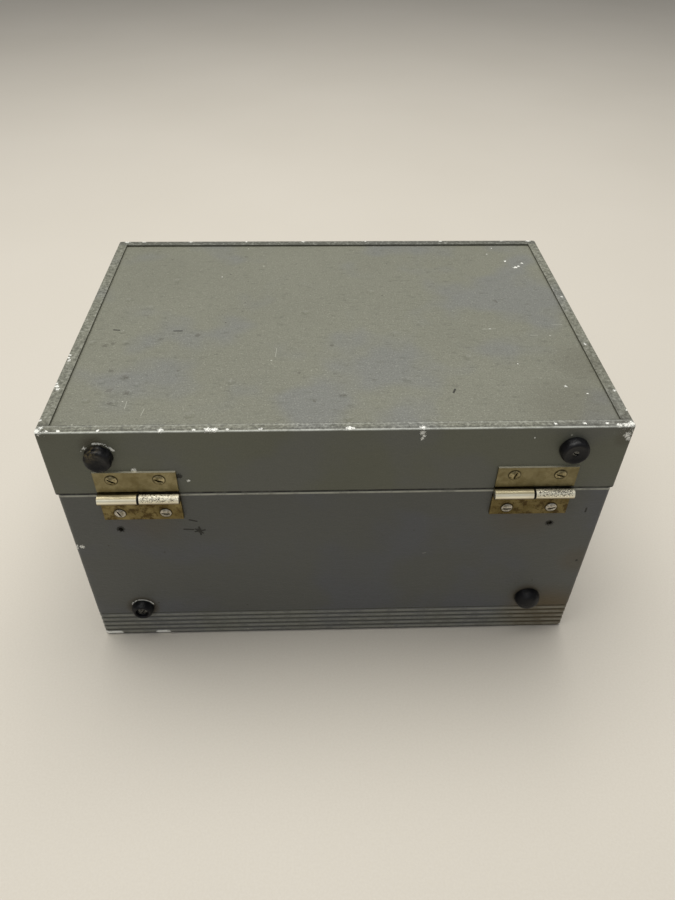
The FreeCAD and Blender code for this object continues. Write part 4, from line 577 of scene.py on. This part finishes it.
def metal(name, light, dark, rough, tarnish, amount, patch, brushed=None, pitted=0.0, slots=0.0):
    """Bare or plated metal with tarnish, fine scratches and brighter edges.

    patch is the size of its patches, brushed the stretch of its brush marks, pitted the depth of
    its casting pits, and slots how much painted shade darkens the cuts in a screw head.
    """
    f = Finish(name, metallic=1.0)
    patches = f.noise(patch, 4.0, 0.62, at=f.moved(seed=1.7))
    f.colour = f.mix(f.ramp(patches, 0.3, 0.7), light, dark)
    if brushed:
        streak = f.noise(1.4 * MM, 3.0, 0.6, at=f.moved(stretch=brushed))
        f.cover(f.ramp(streak, 0.35, 0.75, 0.0, 0.35), dark)
    else:
        streak = f.noise(1.1 * MM, 4.0, 0.7)
    stain = f.noise(patch * 0.45, 4.0, 0.68, at=f.moved(seed=5.2))
    stain = f.ramp(stain, 0.42, 0.68, 0.0, amount)
    f.cover(f.either(stain, f.both(f.hollow(2.5 * MM), amount)), tarnish)
    f.cover(f.both(f.edge(0.5 * MM, 0.03, 0.2), 0.6), light)
    # painted shade in the cuts of a screw head
    if slots:
        f.cover(f.both(f.hollow(1.2 * MM), slots), shade(16, 13, 8))
    f.bump(streak, 0.05 * MM)
    if pitted:
        f.bump(f.noise(1.2 * MM, 3.0, 0.7, at=f.moved(seed=3)), pitted)
    rough = f.calc("MULTIPLY_ADD", patches, 0.24, rough - 0.12)
    return f.done(roughness=f.calc("MULTIPLY_ADD", streak, 0.12, rough))


def hinge_plate(name, light, dark, tarnish, amount, side):
    """Old plated brass sheet: a knuckle worn bright with painted reflection and shade, and painted
    shade round the screw heads.

    The lid's leaves (side 1) have their knuckles on +X, the case's leaves (side -1) on -X,
    and those are pitted.
    """
    f = Finish(name)
    half_length = 25.4 * MM
    cut_height = 3.8 * MM
    pin_low, pin_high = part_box("hinge_pins")
    pin = (pin_low + pin_high) / 2
    centre = pin_high[0] - half_length
    screw_low, screw_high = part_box("hinge_lid_screws")
    spread = (screw_low[2] + screw_high[2]) / 2 - pin[2]
    x, y, z = (f.parts(f.place)[i] for i in range(3))
    along = f.calc("SUBTRACT", f.calc("ABSOLUTE", x), centre)
    raised = f.calc("SUBTRACT", z, pin[2])

    # the sheet: patches, rolling marks, tarnish, rust below the pin; the -X hinge is duller
    patches = f.noise(14 * MM, 4.0, 0.62, at=f.moved(seed=1.7))
    f.colour = f.mix(f.ramp(patches, 0.3, 0.7), light, dark)
    streak = f.noise(1.2 * MM, 3.0, 0.6, at=f.moved(stretch=(0.1, 1, 1)))
    f.cover(f.ramp(streak, 0.4, 0.75, 0.0, 0.3), dark)
    stain = f.noise(5 * MM, 5.0, 0.72, at=f.moved(seed=5.2))
    f.cover(f.ramp(stain, 0.44, 0.62, 0.0, amount), tarnish)
    if side < 0:
        rust = f.ramp(f.noise(3 * MM, 5.0, 0.75, at=f.moved(seed=2)), 0.5, 0.62)
        f.cover(f.both(rust, f.ramp(raised, -12 * MM, -4 * MM, 0.1, 0.8)), shade(92, 66, 30))
    f.cover(f.ramp(x, 1 * MM, -1 * MM, 0.0, 0.17), shade(44, 40, 24))

    # painted shade in a dark ring round each screw head, and painted shadow in the cut beside the
    # knuckle
    across = f.calc("SUBTRACT", f.calc("ABSOLUTE", along), spread)
    upward = f.calc("SUBTRACT", f.calc("ABSOLUTE", raised), spread)
    away = f.calc("SQRT", f.calc("ADD", f.both(across, across), f.both(upward, upward)))
    f.cover(f.both(f.ramp(away, 4.6 * MM, 3.7 * MM), 0.75), shade(30, 25, 14))
    cut = f.ramp(f.gap(f.calc("ABSOLUTE", raised), cut_height), 0.9 * MM, 0.5 * MM)
    f.cover(f.both(cut, 0.9), shade(16, 13, 8))

    # the knuckle: worn bright with a painted near-white reflection, pitted on the case's leaf,
    # painted shade tan above and brown below
    reach = f.length(f.vector("MULTIPLY", f.vector("SUBTRACT", f.place, tuple(pin)), (0, 1, 1)))
    rolled = f.both(f.ramp(reach, 3.75 * MM, 3.6 * MM),
                    f.ramp(y, pin[1] - 1.2 * MM, pin[1] - 0.4 * MM))
    pits = f.noise(1.0 * MM, 5.0, 0.85, at=f.moved(stretch=(0.8, 1, 1), seed=3))
    painted_sheen_and_pits = f.mix(f.ramp(patches, 0.3, 0.7), shade(255, 250, 228), shade(242, 234, 208))
    if side < 0:
        band = f.ramp(f.gap(raised, 2.1 * MM), 2.1 * MM, 1.3 * MM)
        middle = f.gap(f.calc("ABSOLUTE", along), half_length / 2)
        inward = f.ramp(middle, 12.6 * MM, 9.5 * MM)
        worn = f.both(f.ramp(pits, 0.51, 0.56), f.both(band, inward))
        painted_sheen_and_pits = f.mix(worn, painted_sheen_and_pits, shade(58, 44, 22))
    else:
        # painted shade: tan over the top of the lid's knuckles
        painted_shade_above = f.ramp(raised, 2.0 * MM, 2.7 * MM)
        painted_sheen_and_pits = f.mix(f.both(painted_shade_above, 0.8), painted_sheen_and_pits, shade(186, 172, 130))
    # painted shade: brown under every knuckle
    painted_shade_below = f.ramp(raised, 0.3 * MM, -1.6 * MM)
    painted_sheen_and_pits = f.mix(f.both(painted_shade_below, 0.9), painted_sheen_and_pits, shade(122, 102, 62))
    f.cover(rolled, painted_sheen_and_pits)

    # painted highlight on the upward face along the plate's top, and painted shadow in the gap at
    # the knuckle's middle
    top = f.both(f.calc("GREATER_THAN", z, screw_high[2] + 2.1 * MM),
                 f.ramp(f.parts(f.facing)[2], 0.3, 0.7))
    f.cover(top, shade(232, 226, 204))
    gap = f.both(f.ramp(f.gap(along, 0.0), 0.9 * MM, 0.6 * MM), rolled)
    f.cover(gap, shade(14, 12, 8))

    f.bump(streak, 0.05 * MM)
    f.bump(pits, (0.06 if side > 0 else 0.25) * MM)
    rough = f.calc("MULTIPLY_ADD", patches, 0.2, 0.34)
    rough = f.calc("SUBTRACT", rough, f.both(rolled, 0.06))
    plain = f.calc("SUBTRACT", 1.0, f.both(f.either(rolled, top), 0.25))
    return f.done(metallic=plain, roughness=rough)


def enamel(name, light, dark, rough=0.4, chipped=0.35):
    """Plain sheet enamel with faint mottling, painted shade in the corners and rubbed edges."""
    f = Finish(name)
    mottle = f.noise(24 * MM, 3.0, 0.55)
    f.colour = f.mix(mottle, dark, light)
    fine = f.noise(0.8 * MM, 2.0, 0.6)
    f.cover(f.ramp(fine, 0.5, 0.8, 0.0, 0.2), light)
    # painted shade in the corners
    f.cover(f.both(f.hollow(4 * MM), 0.5), CORNER_SHADE)
    worn = f.both(f.edge(0.6 * MM, 0.04, 0.2), f.ramp(f.noise(5 * MM, 3.0, 0.7), 0.45, 0.6))
    f.cover(f.both(worn, chipped), BARE)
    f.bump(fine, 0.08 * MM)
    return f.done(roughness=f.calc("MULTIPLY_ADD", mottle, 0.16, rough - 0.08))


def glass(name, tint, rough=0.02, ior=1.5, rings=None, through=1.0):
    """Clear glass or acrylic with faint smudges; a Fresnel lens also has its rings."""
    f = Finish(name, transmission_weight=through, ior=ior)
    smear = f.noise(18 * MM, 4.0, 0.65)
    darker = tuple(c * 0.96 for c in tint[:3]) + (1.0,)
    f.colour = f.mix(f.ramp(smear, 0.3, 0.8), tint, darker)
    if rings:
        centre, pitch = rings
        radius = f.length(f.vector("MULTIPLY", f.vector("SUBTRACT", f.place, centre), (1, 1, 0)))
        f.bump(f.calc("FRACT", f.calc("DIVIDE", radius, pitch)), pitch * 0.25)
    else:
        f.bump(smear, 0.02 * MM)
    return f.done(roughness=f.ramp(smear, 0.45, 0.8, rough, rough + 0.06))


def moulded(name, light, dark, rough=0.35):
    """Moulded phenolic plastic: swirled colour, fine scratches and a duller edge."""
    f = Finish(name, specular_ior_level=0.5)
    swirl = f.noise(7 * MM, 4.0, 0.6, at=f.moved(stretch=(1, 1, 2.2)))
    f.colour = f.mix(f.ramp(swirl, 0.3, 0.75), dark, light)
    greyed = tuple(min(1.0, c * 2.2 + 0.02) for c in light[:3]) + (1.0,)
    f.cover(f.both(f.edge(0.6 * MM, 0.03, 0.2), 0.4), greyed)
    f.bump(f.noise(0.7 * MM, 3.0, 0.7), 0.03 * MM)
    return f.done(roughness=f.calc("MULTIPLY_ADD", swirl, 0.25, rough - 0.1))


# ---------------------------------------------------------------- a finish for every node
def wear(name, material):
    """Give a node one material for all of it."""
    slots = nodes[name].data.materials
    slots.clear()
    slots.append(material)


lid_leaf = hinge_plate("aged_hinge_plate", shade(152, 142, 108), shade(126, 116, 84),
                       tarnish=shade(104, 92, 58), amount=0.4, side=1)
case_leaf = hinge_plate("grimy_hinge_plate", shade(142, 128, 86), shade(104, 90, 52),
                        tarnish=shade(66, 50, 22), amount=0.85, side=-1)
old_screw = metal("old_brass_screw", shade(190, 178, 140), shade(128, 116, 80), 0.3,
                  tarnish=shade(62, 54, 36), amount=0.7, patch=3 * MM, slots=1.0)
bright_screw = metal("steel_screw", shade(222, 216, 204), shade(150, 144, 126), 0.3,
                     tarnish=shade(70, 60, 40), amount=0.6, patch=3 * MM, slots=1.0)
plated = metal("zinc_plated_steel", shade(176, 174, 168), shade(138, 136, 130), 0.38,
               tarnish=shade(112, 106, 92), amount=0.45, patch=20 * MM, brushed=(1, 0.1, 1))
nickel = metal("nickel_plate", shade(190, 186, 174), shade(150, 144, 130), 0.36,
               tarnish=shade(96, 84, 60), amount=0.6, patch=12 * MM)
chrome = metal("chromed_tube", shade(214, 216, 220), shade(190, 192, 196), 0.12,
               tarnish=shade(140, 136, 128), amount=0.25, patch=18 * MM)
brass = metal("machined_brass", shade(214, 184, 112), shade(178, 146, 84), 0.26,
              tarnish=shade(110, 84, 44), amount=0.5, patch=6 * MM)
bezel = metal("brushed_aluminium", shade(208, 209, 210), shade(182, 183, 185), 0.34,
              tarnish=shade(140, 138, 132), amount=0.3, patch=30 * MM, brushed=(0.06, 1, 1))
fan_alloy = metal("cast_fan_alloy", shade(186, 187, 188), shade(156, 157, 158), 0.46,
                  tarnish=shade(96, 90, 80), amount=0.5, patch=9 * MM, pitted=0.08 * MM)
laminations = metal("motor_iron", shade(120, 116, 110), shade(86, 82, 78), 0.5,
                    tarnish=shade(92, 62, 40), amount=0.6, patch=7 * MM)
reflecting = metal("bright_reflector", shade(236, 236, 232), shade(214, 214, 210), 0.08,
                   tarnish=shade(160, 150, 130), amount=0.2, patch=10 * MM)
silvered = metal("silvered_mirror", shade(240, 242, 242), shade(226, 228, 229), 0.05,
                 tarnish=shade(150, 140, 120), amount=0.12, patch=12 * MM)
deck_enamel = enamel("deck_enamel", shade(134, 137, 128), shade(112, 115, 106), 0.42)
black = enamel("black_enamel", shade(42, 42, 43), shade(24, 24, 25), 0.38, 0.5)
head_enamel = enamel("head_enamel", shade(92, 96, 92), shade(72, 76, 72), 0.36, 0.5)
bakelite = moulded("black_phenolic", shade(36, 33, 32), shade(18, 16, 16))
grip_plastic = moulded("handle_grip_plastic", shade(44, 40, 37), shade(22, 20, 19), 0.42)
ceramic = enamel("lamp_ceramic", shade(226, 220, 206), shade(206, 198, 182), 0.3, 0.0)
clear = glass("clear_glass", shade(238, 244, 240))
lamp_glass = glass("lamp_envelope", shade(244, 244, 240), 0.04)
heat = glass("heat_absorbing_glass", shade(196, 222, 206), 0.03)
lens_glass = glass("coated_lens_glass", shade(226, 232, 244), 0.01)
stage_low, stage_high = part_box("fresnel_lenses")
stage_middle = (stage_low + stage_high) / 2
acrylic = glass("fresnel_acrylic", shade(236, 240, 238), 0.06, 1.49,
                rings=(tuple(stage_middle), 0.8 * MM), through=0.7)

foot_rubber = rubber("foot_rubber")
sunken_screw = metal("dirty_screw", shade(150, 150, 146), shade(28, 27, 25), 0.3,
                     tarnish=shade(14, 13, 12), amount=0.95, patch=2.5 * MM, slots=1.0)

FINISHES = {
    "case_body": worn_paint("case_paint_body", body_marks()),
    "lid_shell": worn_paint("case_paint_lid", lid_marks()),
    "case_feet": foot_rubber, "lid_feet": foot_rubber,
    "case_foot_screws": sunken_screw, "lid_foot_screws": sunken_screw,
    "hinge_lid_leaves": lid_leaf, "hinge_case_leaves": case_leaf,
    "hinge_pins": bright_screw,
    "hinge_lid_screws": old_screw, "hinge_case_screws": bright_screw,
    "deck_plate": deck_enamel, "deck_pillars": plated, "deck_screws": bright_screw,
    "stage_frame": bezel, "stage_glass": clear, "fresnel_lenses": acrylic, "fresnel_tray": black,
    "lamp_house": plated, "lamp": lamp_glass, "lamp_holder": ceramic, "reflector": reflecting,
    "condenser_cell": black, "heat_glass": heat, "condenser_lens": clear,
    "fan_wheel": fan_alloy, "fan_shaft": plated, "fan_motor": laminations,
    "motor_bracket": plated, "fan_shroud": plated,
    "storage_well": deck_enamel, "switch_body": bakelite, "switch_lever": nickel,
    "power_inlet": bakelite,
    "post_bracket": nickel, "post_foot_block": head_enamel, "post_tube": chrome,
    "focus_rack": brass, "head_carriage": head_enamel, "head_arm": head_enamel,
    "focus_pinion": brass, "focus_knob": bakelite,
    "lens_barrel": black, "lens_front": lens_glass, "lens_middle": lens_glass,
    "lens_rear": lens_glass,
    "mirror_cradle": head_enamel, "mirror_backing": black, "mirror_glass": silvered,
    "mirror_knob": bakelite,
    "handle_bail": nickel, "handle_grip": grip_plastic, "handle_brackets": nickel,
    "handle_screws": bright_screw,
    "latch_bases": nickel, "latch_keepers": nickel,
    "latch_lever_left": nickel, "latch_lever_right": nickel,
    "latch_bail_left": nickel, "latch_bail_right": nickel,
}
for name in nodes:
    wear(name, FINISHES[name])


# ---------------------------------------------------------------- rubber feet
def turned_foot(name, place, outline, lumps, body, node, material):
    """A rubber foot turned from its outline (radius, height in millimetres), then made uneven.

    It stands on the back at place, in metres; lumps is how far the rubber swells, in millimetres.
    """
    sides = 40
    coarse, fine = 0.34, 0.9    # lumps per millimetre
    mesh = bpy.data.meshes.new(name)
    shape = bmesh.new()
    rings = []
    for radius, height in outline[:-1]:
        ring = []
        for step in range(sides):
            angle = 2 * math.pi * step / sides
            point = Vector((radius * math.cos(angle), height, radius * math.sin(angle)))
            swell = noise.noise(point * coarse + Vector((place[0], 0, 0)) * 40) * lumps
            swell += noise.noise(point * fine) * lumps * 0.35
            point.x *= 1 + swell / 10
            point.z *= 1 + swell / 10
            point.y += swell * 0.35 if height > 1 else 0
            ring.append(shape.verts.new(Vector(place) + point * MM))
        rings.append(ring)
    middle = shape.verts.new(Vector(place) + Vector((0, outline[-1][1], 0)) * MM)
    for lower, upper in zip(rings, rings[1:]):
        for step in range(sides):
            after = (step + 1) % sides
            shape.faces.new((lower[step], lower[after], upper[after], upper[step]))
    for step in range(sides):
        shape.faces.new((rings[-1][step], rings[-1][(step + 1) % sides], middle))
    shape.faces.new(list(reversed(rings[0])))
    bmesh.ops.recalc_face_normals(shape, faces=shape.faces[:])
    for face in shape.faces:
        face.smooth = True
    shape.to_mesh(mesh)
    shape.free()
    mesh.materials.append(material)
    piece = bpy.data.objects.new(name, mesh)
    bpy.context.scene.collection.objects.link(piece)
    rounding = piece.modifiers.new("rounding", "SUBSURF")
    rounding.levels = rounding.render_levels = 2
    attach(piece, body)
    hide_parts(node)


def rubber_feet():
    """Four feet: a lumpy worn one and a dished one on the lid, an open one and a dome below."""
    low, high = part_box("lid_feet")
    right, left, base = high[0] - 8.6 * MM, low[0] + 8.6 * MM, low[1]
    lumpy = [(8.3, 0), (8.7, 0.4), (8.6, 1.4), (8.1, 2.6), (8.4, 4.0), (8.2, 5.4), (7.5, 6.5),
             (6.4, 7.0), (5.0, 6.8), (3.6, 6.3), (2.0, 6.0), (0, 6.1)]
    dished = [(8.7, 0), (9.0, 0.4), (9.0, 1.5), (8.9, 3.0), (8.7, 4.6), (8.2, 5.8), (7.4, 6.5),
              (6.6, 6.6), (5.4, 6.2), (3.6, 5.8), (2.0, 5.6), (1.7, 5.1), (1.5, 4.2), (0, 4.2)]
    turned_foot("lid_foot_lumpy", (right, base, low[2] + 8.6 * MM), lumpy, 1.0, "lid",
                "lid_feet", foot_rubber)
    turned_foot("lid_foot_dished", (left, base, high[2] - 8.6 * MM), dished, 0.25, "lid",
                "lid_feet", foot_rubber)
    low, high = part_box("case_feet")
    right, left, base = high[0] - 8.0 * MM, low[0] + 9.1 * MM, low[1]
    rimmed = [(7.7, 0), (8.1, 0.4), (8.0, 1.4), (7.7, 2.8), (7.3, 4.2), (6.8, 5.3), (6.1, 6.0),
              (5.3, 6.1), (4.6, 5.7), (4.4, 4.8), (4.3, 3.8), (4.0, 3.5), (0, 3.5)]
    dome = [(8.9, 0), (9.2, 0.4), (9.1, 1.5), (8.9, 3.0), (8.4, 4.8), (7.3, 6.6), (5.4, 7.9),
            (2.8, 8.5), (0, 8.6)]
    turned_foot("case_foot_rimmed", (right, base, low[2] + 8.0 * MM), rimmed, 0.3, "case",
                "case_feet", foot_rubber)
    turned_foot("case_foot_domed", (left, base, high[2] - 9.1 * MM), dome, 0.3, "case",
                "case_feet", foot_rubber)


rubber_feet()


# ---------------------------------------------------------------- floor, light and camera
def pale_floor():
    """A plain pale floor: one broad sheet with a faint texture."""
    mesh = bpy.data.meshes.new("floor")
    shape = bmesh.new()
    bmesh.ops.create_grid(shape, x_segments=8, y_segments=8, size=6.0)
    shape.to_mesh(mesh)
    shape.free()
    sheet = bpy.data.objects.new("floor", mesh)
    sheet.location = (0, 0, cad_box[0][2] - 0.0002)
    bpy.context.scene.collection.objects.link(sheet)
    f = Finish("pale_floor")
    cloud = f.noise(0.4, 3.0, 0.5)
    fibre = f.noise(1.5 * MM, 3.0, 0.6)
    f.colour = f.mix(cloud, shade(196, 190, 178), shade(204, 198, 187))
    f.cover(f.ramp(fibre, 0.3, 0.7, 0.0, 0.12), shade(170, 160, 144))
    f.bump(fibre, 0.05 * MM)
    mesh.materials.append(f.done(roughness=f.calc("MULTIPLY_ADD", fibre, 0.1, 0.75)))


def soft_light(name, place, size, power, colour):
    lamp = bpy.data.lights.new(name, "AREA")
    lamp.shape = "RECTANGLE"
    lamp.size, lamp.size_y = size
    lamp.energy = power
    lamp.color = colour
    item = bpy.data.objects.new(name, lamp)
    item.location = place
    aim = Vector((0, 0, 0.1)) - Vector(place)
    item.rotation_euler = aim.to_track_quat("-Z", "Y").to_euler()
    bpy.context.scene.collection.objects.link(item)


def light_the_room():
    world = bpy.data.worlds.new("room")
    world.use_nodes = True
    back = world.node_tree.nodes["Background"]
    back.inputs["Color"].default_value = (0.80, 0.81, 0.83, 1.0)
    back.inputs["Strength"].default_value = 0.30
    bpy.context.scene.world = world
    soft_light("ceiling", (0.15, -0.35, 2.1), (2.2, 1.6), 58.0, (1.0, 0.985, 0.95))
    soft_light("fill", (0.35, 1.75, 1.55), (1.2, 0.8), 6.0, (0.96, 0.98, 1.0))


def set_camera():
    """Standing behind the case and looking down on the lid and the hinges."""
    place = Vector((0.0139, 0.4473, 0.4687))
    ahead = Vector((-0.0312, -0.7510, -0.6596)).normalized()
    tilt = math.radians(0.873)
    level = ahead.cross(Vector((0, 0, 1))).normalized()
    plumb = level.cross(ahead)
    across = level * math.cos(tilt) + plumb * math.sin(tilt)
    above = plumb * math.cos(tilt) - level * math.sin(tilt)
    lens = bpy.data.cameras.new("camera")
    lens.lens = 28.28
    lens.sensor_width = 36.0
    lens.sensor_fit = "AUTO"
    lens.clip_start = 0.01
    camera = bpy.data.objects.new("camera", lens)
    turn = Matrix((across, above, -ahead)).transposed()
    camera.matrix_world = Matrix.Translation(place) @ turn.to_4x4()
    bpy.context.scene.collection.objects.link(camera)
    bpy.context.scene.camera = camera


pale_floor()
light_the_room()
set_camera()
bpy.context.scene.view_settings.view_transform = "Standard"
